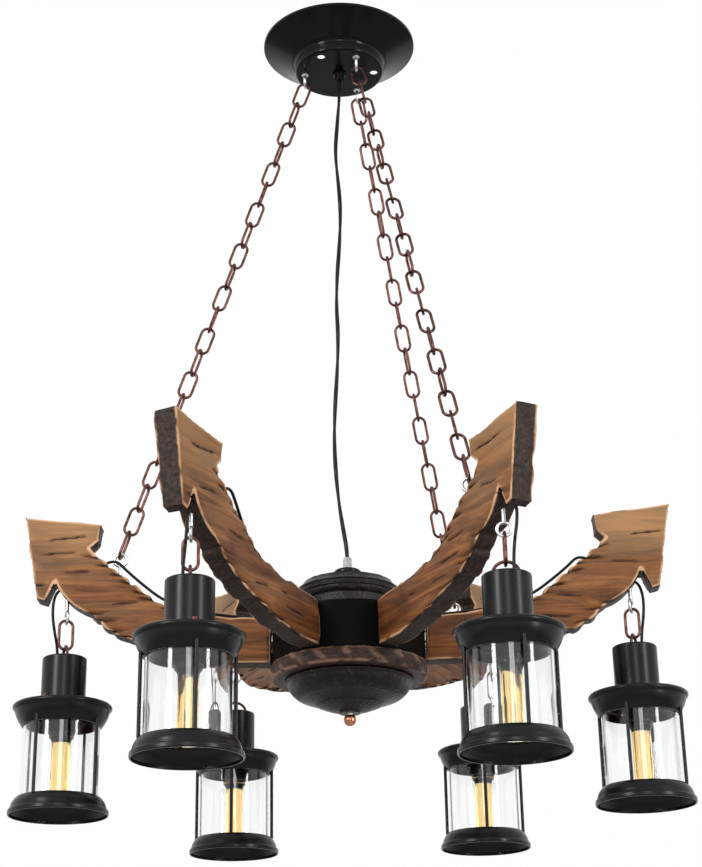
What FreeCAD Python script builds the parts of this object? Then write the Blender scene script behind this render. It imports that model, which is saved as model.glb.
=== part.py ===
import FreeCAD, Part
import math
import os
import Sketcher

# A six-light chandelier: a ceiling canopy, three link chains, a turned hub with six
# arrow-ended wooden arms, and a glass lantern hanging from each arm.  Millimetres, +Z up,
# origin on the ceiling at the canopy's centre.  "Height" below means height above the
# wheel's datum, which is level with the tops of the lantern caps.

SIZES = {
    # ceiling canopy
    "canopy_radius": 87.5,
    "canopy_depth": 37.0,
    "canopy_lip": 3.0,
    "canopy_wall": 1.2,
    "boss_radius": 51.0,
    "boss_depth": 15.0,
    "boss_edge": 2.5,
    "boss_groove": 4.0,
    "eye_circle": 40.0,
    "mount_hole_radius": 4.5,
    "cord_hole_radius": 5.0,
    # wire eyes and chain
    "wire": 3.0,
    "wire_gap": 0.3,
    "eye_radius": 6.5,
    "eye_shank_radius": 2.0,
    "eye_stub": 2.5,
    "link_length": 33.7,
    "link_width": 17.0,
    "link_count": 22,
    "open_gap": 1.4,
    # cords and their holes
    "cord_radius": 2.2,
    "lead_radius": 1.5,
    "cord_clearance": 0.3,
    "lead_hole_clearance": 1.7,
    # hub
    "drum_radius": 78.0,
    "drum_top": 34.0,
    "drum_wall": 1.2,
    "drum_opening": 42.0,
    "lead_exit_radius": 65.5,
    "lead_exit_hole": 5.5,
    "plate_overlap": 3.5,
    "plate_top": -13.0,
    "plate_thickness": 16.0,
    "bowl_radius": 64.0,
    "bowl_depth": 34.0,
    "bowl_wall": 1.2,
    "dome_radius": 53.0,
    "dome_step": 4.5,
    "dome_band": 6.0,
    "dome_neck_height": 22.0,
    "dome_height": 47.0,
    "dome_wall": 1.2,
    "grip_flange_radius": 14.5,
    "grip_flange_height": 7.0,
    "grip_height": 20.0,
    "finial_radius": 6.3,
    "rod_radius": 4.0,
    "rod_bore": 2.6,
    "thread_clearance": 0.05,
    "connector_length": 34.0,
    "connector_width": 14.0,
    "connector_height": 13.0,
    "nut_flats": 13.0,
    "nut_height": 5.0,
    # arms
    "arm_thickness": 26.0,
    "arm_joint_gap": 0.3,
    "arm_rise": 150.0,
    "chain_eye_standing": 15.0,
    "arm_screw_radius": 2.2,
    "arm_screw_length": 24.0,
    "arm_screw_low": 2.0,
    "arm_screw_high": 22.0,
    # lanterns
    "lamp_circle": 290.0,
    "bail_radius": 12.5,
    "cap_radius": 22.5,
    "cap_height": 48.0,
    "cap_edge": 2.0,
    "sheet_wall": 1.2,
    "lead_offset": 9.2,
    "holder_wall": 1.2,
    "holder_top": -30.0,
    "holder_bottom": -78.0,
    "nipple_radius": 5.0,
    "crown_flare": 10.0,
    "crown_depth": 23.0,
    "crown_mouth_radius": 40.0,
    "cage_rod_radius": 1.75,
    "cage_rod_stand": 2.2,
    "base_top": -142.0,
    "base_height": 17.5,
    "base_flare": 8.3,
    "base_mouth_radius": 41.5,
    "glass_clearance": 0.2,
    "glass_wall": 2.4,
    "glass_top": -62.0,
    "bulb_cap_radius": 12.6,
    "bulb_cap_length": 22.0,
    "bulb_radius": 9.4,
    "bulb_end": -148.0,
    "screw_circle": 30.0,
    "screw_radius": 1.5,
    "screw_head_radius": 3.3,
}

# Each lantern: the arm's azimuth from +X, the azimuth that its chain link faces, and the
# azimuth of its thumb screw, in degrees.  The arms marked with a chain carry the fixture.
LAMPS = {
    "right": {"arm": 0.0, "link": 70.0, "screw": 335.0, "chain": False},
    "rear_right": {"arm": 60.0, "link": 90.0, "screw": 90.0, "chain": True},
    "rear_left": {"arm": 118.0, "link": 0.0, "screw": 0.0, "chain": False},
    "left": {"arm": 180.0, "link": 110.0, "screw": 244.0, "chain": True},
    "front_left": {"arm": 242.0, "link": 95.0, "screw": 285.0, "chain": False},
    "front_right": {"arm": 300.0, "link": 0.0, "screw": 103.0, "chain": True},
}
CHAINS = {"chain_left": "left", "chain_front": "front_right", "chain_rear": "rear_right"}
MOUNT_HOLES = (0.0, 120.0, 240.0)

# An arm's outline, anticlockwise from the low corner at the hub, as shares of the run from
# the arm's root to the lantern's circle and of the arm's rise; a third number is the
# radius of the bend that ends there, as a share of that run.
ARM_SHAPE = (
    (0, -0.2533), (0.06, -0.2533), (0.1072, -0.2167, 0.104), (0.3859, -0.06),
    (0.6552, 0.0733), (0.8677, 0.2733, 0.425), (0.9386, 0.33), (1.0567, 0.5333, 0.283),
    (1.0992, 0.3867), (1.1464, 0.4067), (1.222, 1.0), (0.8394, 0.9333), (0.8488, 0.8133),
    (0.8961, 0.76), (0.5513, 0.3733), (0.3859, 0.2933, -0.425), (0.197, 0.2467),
    (0, 0.22, 0.567),
)
# Where a chain's eye enters its arm's back, and how far up the eye stems reach or start.
CHAIN_EYE_AT = (0.745, 0.59)
CHAIN_STEM_LOW = 0.45
LAMP_STEM_HIGH = 0.555
# A lead's route over and through its arm: shares of the run, of the arm's thickness, and of the rise.
LEAD_ROUTE = (
    (-0.0817, 0, 0.067), (-0.077, 0, 0.257), (0.0647, 0, 0.2565), (0.2253, 0.02, 0.2755),
    (0.3859, 0.04, 0.3133), (0.5276, 0.077, 0.39), (0.6316, 0.192, 0.5033),
    (0.7109, 0.327, 0.6007), (0.7676, 0.369, 0.6807), (0.8507, 0.342, 0.6193),
    (0.9547, 0.281, 0.5367), (1.0439, 0.246, 0.47), (1.0624, 0.231, 0.4033),
    (1.0661, 0.192, 0.3133), (1.0567, 0.1, 0.2),
)
# The points of that route between which the arm is drilled for it.
LEAD_HOLE = (8, 11)

Vector = FreeCAD.Vector
Rotation = FreeCAD.Rotation
Placement = FreeCAD.Placement
UP = Vector(0, 0, 1)
ORIGIN = Vector(0, 0, 0)


class Size:
    """A length held by the sheet, or worked out from such lengths, with its expression."""

    def __init__(self, value, text):
        self.value = float(value)
        self.text = text

    @staticmethod
    def of(item):
        if isinstance(item, Size):
            return item
        return Size(item, "({:g})".format(item))

    def __add__(self, other):
        other = Size.of(other)
        return Size(self.value + other.value, "({} + {})".format(self.text, other.text))

    def __sub__(self, other):
        other = Size.of(other)
        return Size(self.value - other.value, "({} - {})".format(self.text, other.text))

    def __rsub__(self, other):
        return Size.of(other) - self

    def __mul__(self, other):
        other = Size.of(other)
        return Size(self.value * other.value, "({} * {})".format(self.text, other.text))

    def __truediv__(self, other):
        other = Size.of(other)
        return Size(self.value / other.value, "({} / {})".format(self.text, other.text))

    def __neg__(self):
        return Size(-self.value, "(0 - {})".format(self.text))

    __radd__ = __add__
    __rmul__ = __mul__

    def __float__(self):
        return self.value


class Sheet:
    """The sizes of SIZES as attributes, each a Size."""


doc = FreeCAD.newDocument("chandelier")
sheet = doc.addObject("Spreadsheet::Sheet", "Sizes")
sizes = Sheet()
for row, (alias, number) in enumerate(SIZES.items(), start=1):
    sheet.set("A{}".format(row), alias)
    sheet.set("B{}".format(row), str(number))
    sheet.setAlias("B{}".format(row), alias)
doc.recompute()
for alias in SIZES:
    setattr(sizes, alias, Size(sheet.get(alias), "Sizes.{}".format(alias)))


# ---------------------------------------------------------------- helpers

nodes = {}


def bind(item, path, size):
    """Give a property the size, bound to the sheet where the size comes from it."""
    size = Size.of(size)
    if "Sizes." in size.text:
        item.setExpression(path, size.text)
    else:
        setattr(item, path, size.value)


def keep(label, item, placement=None):
    """Name the object as a node of the assembly."""
    item.Label = label
    if placement is not None:
        item.Placement = placement
    nodes[label] = item
    return item


def new_body(name):
    return doc.addObject("PartDesign::Body", name)


def new_sketch(body, name, role, lift=None):
    """A sketch on one of the body's own planes, lifted off it where a size is given."""
    plane = [item for item in body.Origin.OriginFeatures if item.Role == role][0]
    sketch = body.newObject("Sketcher::SketchObject", name)
    sketch.AttachmentSupport = [(plane, "")]
    sketch.MapMode = "FlatFace"
    if lift is not None:
        bind_lift(sketch, lift)
    return sketch


def bind_lift(sketch, lift):
    lift = Size.of(lift)
    sketch.AttachmentOffset = Placement(Vector(0, 0, lift.value), Rotation())
    if "Sizes." in lift.text:
        sketch.setExpression("AttachmentOffset.Base.z", lift.text)


def hold_point(sketch, geometry, end, x, y):
    """Fix one end of a line or arc, or a circle's centre, at (x, y)."""
    for kind, axis, size in (("DistanceX", -2, Size.of(x)), ("DistanceY", -1, Size.of(y))):
        if "Sizes." not in size.text and size.value == 0:
            sketch.addConstraint(Sketcher.Constraint("PointOnObject", geometry, end, axis))
            continue
        number = sketch.addConstraint(
            Sketcher.Constraint(kind, -1, 1, geometry, end, size.value))
        if "Sizes." in size.text:
            sketch.setExpression("Constraints[{}]".format(number), size.text)


def arc_centre(start, end, radius):
    """The centre of the arc from start to end; a positive radius turns anticlockwise."""
    half = (end - start) * 0.5
    rise = math.sqrt(max(radius * radius - half.Length * half.Length, 0.0))
    side = Vector(-half.y, half.x, 0)
    side.normalize()
    return start + half + side * (rise if radius > 0 else -rise)


def outline(sketch, points):
    """A closed outline of (x, y) or (x, y, radius), where radius bends the run that ends
    at the point: anticlockwise where it is positive."""
    spots = [Vector(float(Size.of(p[0])), float(Size.of(p[1])), 0) for p in points]
    starts = []
    ends = []
    for number, point in enumerate(points):
        start = spots[number - 1]
        end = spots[number]
        if len(point) == 2:
            geometry = sketch.addGeometry(Part.LineSegment(start, end), False)
            starts.append((geometry, 1))
            ends.append((geometry, 2))
            continue
        radius = Size.of(point[2])
        centre = arc_centre(start, end, radius.value)
        first, last = (start, end) if radius.value > 0 else (end, start)
        low = math.atan2(first.y - centre.y, first.x - centre.x)
        high = math.atan2(last.y - centre.y, last.x - centre.x)
        circle = Part.Circle(centre, UP, abs(radius.value))
        if high <= low:
            high += 2 * math.pi
        geometry = sketch.addGeometry(Part.ArcOfCircle(circle, low, high), False)
        starts.append((geometry, 1 if radius.value > 0 else 2))
        ends.append((geometry, 2 if radius.value > 0 else 1))
        rule = sketch.addConstraint(
            Sketcher.Constraint("Radius", geometry, abs(radius.value)))
        if "Sizes." in radius.text:
            sign = "" if radius.value > 0 else "-1 * "
            sketch.setExpression("Constraints[{}]".format(rule), sign + radius.text)
    for number in range(len(points)):
        following = (number + 1) % len(points)
        sketch.addConstraint(
            Sketcher.Constraint("Coincident", *ends[number], *starts[following]))
        hold_point(sketch, ends[number][0], ends[number][1], points[number][0],
                   points[number][1])


def circles(sketch, radius, spots):
    """Circles of one radius about the spots."""
    radius = Size.of(radius)
    for x, y in spots:
        x = Size.of(x)
        y = Size.of(y)
        geometry = sketch.addGeometry(
            Part.Circle(Vector(x.value, y.value, 0), UP, radius.value), False)
        rule = sketch.addConstraint(Sketcher.Constraint("Radius", geometry, radius.value))
        if "Sizes." in radius.text:
            sketch.setExpression("Constraints[{}]".format(rule), radius.text)
        hold_point(sketch, geometry, 3, x, y)


def around(radius, azimuth):
    """The spot at a radius and an azimuth in degrees."""
    angle = math.radians(azimuth)
    return (radius * round(math.cos(angle), 9), radius * round(math.sin(angle), 9))


def revolve(body, name, points):
    """A full turn of an outline in (radius, height) about Z."""
    sketch = new_sketch(body, name + "_outline", "XZ_Plane")
    outline(sketch, points)
    turn = body.newObject("PartDesign::Revolution", name)
    turn.Profile = sketch
    turn.ReferenceAxis = (sketch, ["V_Axis"])
    turn.Angle = 360
    body.Tip = turn
    return turn


def bore_down(body, name, radius, spots, top, depth):
    """Round holes along Z from the height top down by depth."""
    sketch = new_sketch(body, name + "_outline", "XY_Plane", top)
    circles(sketch, radius, spots)
    hole = body.newObject("PartDesign::Pocket", name)
    hole.Profile = sketch
    bind(hole, "Length", depth)
    body.Tip = hole
    return hole


def turned(name, points):
    """A body turned about Z from one outline."""
    body = new_body(name)
    revolve(body, name + "_turn", points)
    return body


def group(name, members):
    """Separate solids kept together as one node."""
    item = doc.addObject("Part::Compound", name)
    item.Links = members
    return item


def loose(name, shape):
    """A node whose solids come from Part's own functions."""
    item = doc.addObject("Part::Feature", name)
    item.Shape = shape
    return item


def turn_about_z(degrees, base=ORIGIN):
    return Placement(base, Rotation(UP, degrees))


def polar(radius, azimuth, height, side=0.0):
    """A place on an arm: out along its azimuth, side to its left, and up."""
    angle = math.radians(azimuth)
    out = Vector(math.cos(angle), math.sin(angle), 0)
    left = Vector(-math.sin(angle), math.cos(angle), 0)
    return out * float(radius) + left * float(side) + UP * float(height)


def stadium_link():
    """A chain link in the XZ plane; the wire's centre at its top is the origin."""
    wire = float(sizes.wire)
    bend = (float(sizes.link_width) - wire) / 2
    low = -(float(sizes.link_length) - wire)
    run_top = Vector(bend, 0, -bend)
    run_low = Vector(bend, 0, low + bend)
    path = Part.Wire([
        Part.Arc(Vector(-bend, 0, -bend), ORIGIN, run_top).toShape(),
        Part.LineSegment(run_top, run_low).toShape(),
        Part.Arc(run_low, Vector(0, 0, low), Vector(-bend, 0, low + bend)).toShape(),
        Part.LineSegment(Vector(-bend, 0, low + bend), Vector(-bend, 0, -bend)).toShape(),
    ])
    ring = Part.Wire([Part.Circle(Vector(-bend, 0, -bend), UP, wire / 2).toShape()])
    return Part.Solid(path.makePipeShell([ring], True, False))


def placed(shape, place):
    copy = shape.copy()
    copy.Placement = place
    return copy


def frame_from(down, normal, base):
    """Placement that turns a link's -Z to down and its Y to normal, with its top at base."""
    up = down * -1
    across = normal.cross(up)
    matrix = FreeCAD.Matrix(across.x, normal.x, up.x, base.x,
                            across.y, normal.y, up.y, base.y,
                            across.z, normal.z, up.z, base.z)
    return Placement(matrix)


def eye_ring(centre, axis):
    return Part.makeTorus(float(sizes.eye_radius), float(sizes.wire) / 2, centre, axis)


def rod_between(start, end, radius):
    run = end - start
    return Part.makeCylinder(float(radius), run.Length, start, run)


def hex_nut(flats, height, bore, base):
    """A hexagon nut standing on base."""
    corner = flats / math.sqrt(3)
    spots = [base + polar(corner, 60 * turn, 0) for turn in range(7)]
    face = Part.Face(Part.makePolygon(spots))
    body = face.extrude(UP * height)
    return body.cut(Part.makeCylinder(bore, height, base, UP))


def rounded_tube(name, points, radius):
    """A cord: straight runs joined by tangent arcs, with its bend radii printed."""
    edges = []
    bends = []
    start = points[0]
    for before, corner, after in zip(points, points[1:], points[2:]):
        into = corner - before
        out = after - corner
        half = into.getAngle(out) / 2
        trim = 0.45 * min(into.Length, out.Length)
        bends.append(trim / math.tan(half))
        into.normalize()
        out.normalize()
        first = corner - into * trim
        last = corner + out * trim
        inward = out - into
        inward.normalize()
        centre = corner + inward * (bends[-1] / math.cos(half))
        middle = centre - inward * bends[-1]
        edges.append(Part.LineSegment(start, first).toShape())
        edges.append(Part.Arc(first, middle, last).toShape())
        start = last
    edges.append(Part.LineSegment(start, points[-1]).toShape())
    path = Part.Wire(edges)
    ring = Part.Wire([Part.Circle(points[0], points[1] - points[0], radius).toShape()])
    tube = Part.Solid(path.makePipeShell([ring], True, False))
    ideal = math.pi * radius * radius * path.Length
    print("{}: length {:.1f}, bend radii {}, volume ratio {:.4f}".format(
        name, path.Length, [round(bend, 1) for bend in bends], tube.Volume / ideal))
    return tube


# ---------------------------------------------------------------- layout

arm_root = sizes.drum_radius + sizes.arm_joint_gap
arm_span = sizes.lamp_circle - arm_root
plate_radius = sizes.drum_radius + sizes.plate_overlap
holder_radius = sizes.bulb_cap_radius + sizes.holder_wall
crown_radius = sizes.crown_mouth_radius + sizes.crown_flare
cage_rod_circle = sizes.crown_mouth_radius + sizes.cage_rod_stand
base_radius = sizes.base_mouth_radius + sizes.base_flare
glass_radius = sizes.crown_mouth_radius - sizes.sheet_wall - sizes.glass_clearance
wire_step = sizes.wire + sizes.wire_gap
link_reach = sizes.link_length - sizes.wire
chain_pitch = link_reach - wire_step
canopy_face = -sizes.canopy_depth
canopy_eye_z = canopy_face - sizes.eye_stub - sizes.eye_radius - sizes.wire / 2
chain_top_z = canopy_eye_z - sizes.eye_radius
chain_span = float(chain_pitch) * float(sizes.link_count) - float(
    sizes.wire + sizes.open_gap)
chain_eye_circle = arm_root + arm_span * CHAIN_EYE_AT[0]
chain_eye_height = sizes.arm_rise * CHAIN_EYE_AT[1] + sizes.chain_eye_standing
chain_run = float(chain_eye_circle - sizes.eye_circle)
chain_drop = math.sqrt(chain_span ** 2 - chain_run ** 2)
wheel_z = float(chain_top_z) - chain_drop - float(chain_eye_height + sizes.eye_radius)
wheel = Placement(Vector(0, 0, wheel_z), Rotation())

link_low = sizes.bail_radius - wire_step
link_high = link_low + link_reach
lamp_eye_height = link_high - wire_step + sizes.eye_radius
dome_top = sizes.drum_top + sizes.dome_height
bowl_rim = sizes.plate_top - sizes.plate_thickness
bowl_end = bowl_rim - sizes.bowl_depth
rod_low = bowl_end - sizes.finial_radius
crown_top = -sizes.cap_height
crown_low = crown_top - sizes.crown_depth


# ---------------------------------------------------------------- canopy

def make_canopy():
    """The spun steel cup against the ceiling, with a stepped boss."""
    wall = sizes.canopy_wall
    face = canopy_face
    step = face + sizes.boss_depth
    boss = sizes.boss_radius
    edge = sizes.boss_edge
    groove = sizes.boss_groove
    body = new_body("canopy_body")
    revolve(body, "canopy_shell", [
        (sizes.canopy_radius, 0),
        (sizes.canopy_radius - wall, 0),
        (sizes.canopy_radius - wall, -sizes.canopy_lip),
        (boss + groove, step + wall, sizes.canopy_radius * 3),
        (boss - wall, step - groove + wall, groove * 1.5),
        (boss - wall, face + edge),
        (boss - edge, face + wall, -(edge - wall)),
        (sizes.cord_hole_radius, face + wall),
        (sizes.cord_hole_radius, face),
        (boss - edge, face),
        (boss, face + edge, edge),
        (boss, step - groove),
        (boss + groove, step, -(groove * 1.25)),
        (sizes.canopy_radius, -sizes.canopy_lip, -(sizes.canopy_radius * 3)),
    ])
    bore_down(body, "mount_holes", sizes.mount_hole_radius,
              [around(sizes.eye_circle, azimuth) for azimuth in MOUNT_HOLES],
              face + sizes.boss_depth / 2, sizes.boss_depth)
    bore_down(body, "eye_holes", sizes.eye_shank_radius + sizes.thread_clearance,
              [around(sizes.eye_circle, LAMPS[arm]["arm"]) for arm in CHAINS.values()],
              face + sizes.boss_depth / 2, sizes.boss_depth)
    keep("ceiling_canopy", body)


def make_canopy_eye_bolts():
    """Three eye bolts through the boss, each with its nut inside."""
    shank = float(sizes.eye_shank_radius)
    face = float(canopy_face)
    inside = face + float(sizes.canopy_wall)
    nut_height = 1.6 * shank
    solids = []
    for arm in CHAINS.values():
        spot = polar(sizes.eye_circle, LAMPS[arm]["arm"], 0)
        centre = spot + UP * float(canopy_eye_z)
        ring = eye_ring(centre, Vector(1, 0, 0))
        foot = centre + UP * float(sizes.eye_radius)
        stem = rod_between(foot, spot + UP * (inside + nut_height + shank), shank)
        collar = rod_between(spot + UP * (face - 0.6 * shank), spot + UP * face, 2 * shank)
        solids.append(ring.fuse([stem, collar]).removeSplitter())
        bore = shank + float(sizes.thread_clearance)
        solids.append(hex_nut(4 * shank, nut_height, bore, spot + UP * inside))
    keep("canopy_eye_bolts", loose("eye_bolts", Part.makeCompound(solids)))


def make_canopy_grip():
    """The snap-in bush that holds the supply cord in the canopy."""
    face = canopy_face
    bore = sizes.cord_radius + sizes.cord_clearance
    hole = sizes.cord_hole_radius
    barrel = hole - sizes.thread_clearance
    above = face + sizes.canopy_wall
    body = turned("canopy_grip", [
        (bore, face - hole * 2),
        (bore + hole * 0.4, face - hole * 2),
        (bore + hole * 0.64, face - hole * 0.6),
        (barrel + hole * 0.5, face - hole * 0.4),
        (barrel + hole * 0.5, face),
        (barrel, face),
        (barrel, above),
        (barrel + hole * 0.16, above),
        (barrel - hole * 0.08, above + hole),
        (bore, above + hole),
    ])
    keep("canopy_cord_grip", body)


# ---------------------------------------------------------------- chains and cords

def make_chains(link):
    """Each chain hangs straight from its canopy eye to its arm eye."""
    for label, arm in CHAINS.items():
        azimuth = LAMPS[arm]["arm"]
        top = polar(sizes.eye_circle, azimuth, chain_top_z)
        low = polar(chain_eye_circle, azimuth, float(chain_top_z) - chain_drop)
        down = low - top
        down.normalize()
        across = Vector(0, 1, 0)
        across = across - down * across.dot(down)
        across.normalize()
        solids = []
        for number in range(int(float(sizes.link_count))):
            twist = 90 * (number % 2) + 9 * math.sin(2.1 * number)
            if number in (0, int(float(sizes.link_count)) - 1):
                twist = 90 * (number % 2)
            normal = Rotation(down, twist).multVec(across)
            start = top + down * (float(chain_pitch) * number - float(wire_step))
            solids.append(placed(link, frame_from(down, normal, start)))
        keep(label, loose(label + "_links", Part.makeCompound(solids)))


# The supply cord's route from inside the hub's rod up into the canopy: how far it strays
# to the right and back, in radii of the cord, and its share of the way up.
SUPPLY_ROUTE = (
    (0, 0, 0), (0, 0.1, 0.042), (0, 0, 0.096), (-1.5, -0.2, 0.127), (-3.5, -0.4, 0.173),
    (-4.9, -0.1, 0.228), (-5.45, 0.3, 0.288), (-4.7, 0.5, 0.351), (-3.3, 0.2, 0.412),
    (-2.7, -0.3, 0.472), (-3.4, -0.5, 0.523), (-2.8, -0.1, 0.581), (-1.3, 0.3, 0.641),
    (-0.5, 0.4, 0.704), (-1.45, 0, 0.759), (-2.95, -0.3, 0.816), (-1.5, 0, 0.876),
    (-0.15, 0.05, 0.931), (0, 0, 0.973), (0.02, 0, 1),
)


def make_supply_cord():
    """The flex from inside the canopy down to the hub's rod."""
    stray = float(sizes.cord_radius)
    low = wheel_z + float(dome_top) - float(sizes.dome_height) * 0.766
    high = float(canopy_face + sizes.boss_depth)
    points = [Vector(right * stray, back * stray, low + (high - low) * share)
              for right, back, share in SUPPLY_ROUTE]
    keep("supply_cord", loose("supply_flex",
                              rounded_tube("supply_cord", points, float(sizes.cord_radius))))


def lead_point(lamp, share):
    """A point of a lead's route on one arm, above the wheel's datum."""
    out, side, rise = share
    return polar(arm_root + arm_span * out, lamp["arm"], sizes.arm_rise * rise,
                 float(sizes.arm_thickness) * side)


def lead_hole_in_cap(lamp):
    """Azimuth of the lead's hole in a cap: on its outer side, clear of bail and link."""
    turns = [lamp["link"] + 45 + 90 * quarter for quarter in range(4)]
    return min(turns, key=lambda turn: abs((turn - lamp["arm"] + 180) % 360 - 180))


def make_leads():
    """Six black leads, each from the drum over its arm and down into its cap."""
    solids = []
    for name, lamp in LAMPS.items():
        points = [lead_point(lamp, share) for share in LEAD_ROUTE]
        cap = polar(sizes.lamp_circle, lamp["arm"], 0)
        cap = cap + polar(sizes.lead_offset, lead_hole_in_cap(lamp), 0)
        points.append(cap + UP * (float(lamp_eye_height) * 0.25))
        points.append(cap - UP * (float(sizes.cap_height) * 0.13))
        points = [point + UP * wheel_z for point in points]
        solids.append(rounded_tube("lead_" + name, points, float(sizes.lead_radius)))
    keep("lamp_leads", loose("leads", Part.makeCompound(solids)))


# ---------------------------------------------------------------- hub

def make_hub_dome():
    """The domed cover over the drum's opening."""
    wall = sizes.dome_wall
    rim = sizes.dome_radius
    neck = rim - sizes.dome_step
    foot = sizes.drum_top
    lip = foot + sizes.dome_neck_height - sizes.dome_band / 2
    edge = lip + sizes.dome_band
    shoulder = edge + sizes.dome_band * 2.2
    inner = rim * 0.87
    bore = sizes.rod_radius + sizes.thread_clearance
    top = dome_top
    body = turned("dome", [
        (neck, foot),
        (neck, lip),
        (rim, edge, -(sizes.dome_step * 2)),
        (rim, edge + sizes.dome_band),
        (inner, shoulder, rim * 0.17),
        (sizes.grip_flange_radius, top, rim * 1.7),
        (bore, top),
        (bore, top - wall),
        (sizes.grip_flange_radius, top - wall),
        (inner, shoulder - wall, -(rim * 1.7 - wall)),
        (rim - wall, edge + sizes.dome_band, -(rim * 0.17 - wall)),
        (rim - wall, edge),
        (neck - wall, lip + wall, sizes.dome_step * 2),
        (neck - wall, foot),
    ])
    keep("hub_top_dome", body, wheel)


def make_hub_drum():
    """The black wiring drum that the arms are screwed to."""
    wall = sizes.drum_wall
    rim = sizes.drum_radius
    body = new_body("drum")
    revolve(body, "drum_shell", [
        (rim, sizes.plate_top),
        (rim, sizes.drum_top),
        (sizes.drum_opening, sizes.drum_top),
        (sizes.drum_opening, sizes.drum_top - wall),
        (rim - wall, sizes.drum_top - wall),
        (rim - wall, sizes.plate_top + wall),
        (sizes.rod_radius + sizes.thread_clearance, sizes.plate_top + wall),
        (sizes.rod_radius + sizes.thread_clearance, sizes.plate_top),
    ])
    bore_down(body, "lead_exits", sizes.lead_exit_hole,
              [around(sizes.lead_exit_radius, lamp["arm"]) for lamp in LAMPS.values()],
              sizes.drum_top + 5, Size.of(12))
    holes = [screw_hole(name, lamp["arm"]) for name, lamp in LAMPS.items()]
    keep("hub_drum", cut_away("drum_drilled", body, holes), wheel)


def cylinder(name, base, direction, radius, length):
    """A Part cylinder along a direction, for drilling."""
    item = doc.addObject("Part::Cylinder", name)
    bind(item, "Radius", radius)
    bind(item, "Height", length)
    item.Placement = Placement(base, Rotation(UP, direction))
    return item


def cut_away(name, base, tools):
    """The base less every tool."""
    drills = [item for pair in tools for item in pair]
    tool = drills[0]
    if len(drills) > 1:
        tool = doc.addObject("Part::MultiFuse", name + "_tools")
        tool.Shapes = drills
    cut = doc.addObject("Part::Cut", name)
    cut.Base = base
    cut.Tool = tool
    return cut


def screw_hole(name, azimuth):
    """Two drills along an arm for its screws, through the drum's wall into the wood."""
    drills = []
    for which, height in (("low", sizes.arm_screw_low), ("high", sizes.arm_screw_high)):
        start = polar(sizes.drum_radius - 6, azimuth, height)
        drills.append(cylinder("{}_{}_drill".format(name, which), start,
                               polar(1, azimuth, 0),
                               sizes.arm_screw_radius + sizes.thread_clearance,
                               sizes.arm_screw_length + 6))
    return drills


def make_hub_plate():
    """The carved wooden plate under the drum, slotted for the arms."""
    low = sizes.plate_top - sizes.plate_thickness
    edge = sizes.plate_thickness * 0.19
    body = new_body("plate")
    revolve(body, "plate_disc", [
        (plate_radius, low + edge),
        (plate_radius, sizes.plate_top - edge),
        (plate_radius - edge, sizes.plate_top, edge),
        (sizes.rod_radius + sizes.thread_clearance, sizes.plate_top),
        (sizes.rod_radius + sizes.thread_clearance, low),
        (plate_radius - edge, low),
    ])
    slots = []
    for name, lamp in LAMPS.items():
        block = doc.addObject("Part::Box", "slot_" + name)
        bind(block, "Length", plate_radius)
        bind(block, "Width", sizes.arm_thickness + 2 * sizes.arm_joint_gap)
        bind(block, "Height", sizes.plate_thickness + 2)
        corner = polar(sizes.drum_radius, lamp["arm"], low - 1,
                       -float(sizes.arm_thickness) / 2 - float(sizes.arm_joint_gap))
        block.Placement = turn_about_z(lamp["arm"], corner)
        slots.append([block])
    keep("hub_plate", cut_away("plate_slotted", body, slots), wheel)


def make_hub_bowl():
    """The deep bowl under the plate, drawn in to a small cone."""
    wall = sizes.bowl_wall
    rim = sizes.bowl_radius
    top = bowl_rim
    deep = sizes.bowl_depth
    cone = rim * 0.17
    bore = sizes.rod_radius + sizes.thread_clearance
    body = turned("bowl", [
        (rim, top),
        (rim - wall, top),
        (rim - wall, top - deep * 0.06),
        (rim * 0.78, top - deep * 0.56 + wall, -(rim * 0.36 - wall)),
        (rim * 0.34, top - deep * 0.83 + wall, -(rim * 1.42 - wall)),
        (cone, bowl_end + 2 * wall),
        (bore, bowl_end + 2 * wall),
        (bore, bowl_end),
        (cone, bowl_end),
        (rim * 0.34, top - deep * 0.83),
        (rim * 0.78, top - deep * 0.56, rim * 1.42),
        (rim, top - deep * 0.06, rim * 0.36),
    ])
    keep("hub_bowl", body, wheel)


def make_hub_finial():
    """The copper ball nut under the bowl."""
    ball = doc.addObject("Part::Sphere", "ball")
    bind(ball, "Radius", sizes.finial_radius)
    ball.Placement = Placement(Vector(0, 0, float(rod_low)), Rotation())
    socket = cylinder("ball_socket", Vector(0, 0, float(rod_low) - 0.3), UP,
                      sizes.rod_radius + sizes.thread_clearance, sizes.finial_radius + 2)
    keep("hub_finial", cut_away("ball_nut", ball, [[socket]]), wheel)


def make_hub_rod():
    """The threaded tube that clamps bowl, plate, drum and dome together."""
    body = turned("rod", [
        (sizes.rod_radius, rod_low),
        (sizes.rod_radius, dome_top + sizes.nut_height),
        (sizes.rod_bore, dome_top + sizes.nut_height),
        (sizes.rod_bore, rod_low),
    ])
    keep("hub_rod", body, wheel)


def make_hub_grip():
    """The nut and cord grip on top of the rod."""
    top = dome_top
    bore = sizes.rod_radius + sizes.thread_clearance
    neck = sizes.cord_radius + sizes.cord_clearance
    flange = sizes.grip_flange_radius
    height = sizes.grip_flange_height
    body = turned("grip", [
        (flange - height * 0.29, top),
        (flange, top + height * 0.29),
        (flange, top + height * 0.57),
        (flange - height * 0.57, top + height, height * 0.71),
        (bore * 1.25, top + height),
        (bore * 1.12, top + sizes.grip_height * 0.9),
        (neck * 1.48, top + sizes.grip_height),
        (neck, top + sizes.grip_height),
        (neck, top + sizes.nut_height * 1.1),
        (bore, top + sizes.nut_height * 1.1),
        (bore, top),
    ])
    keep("hub_cord_grip", body, wheel)


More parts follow.
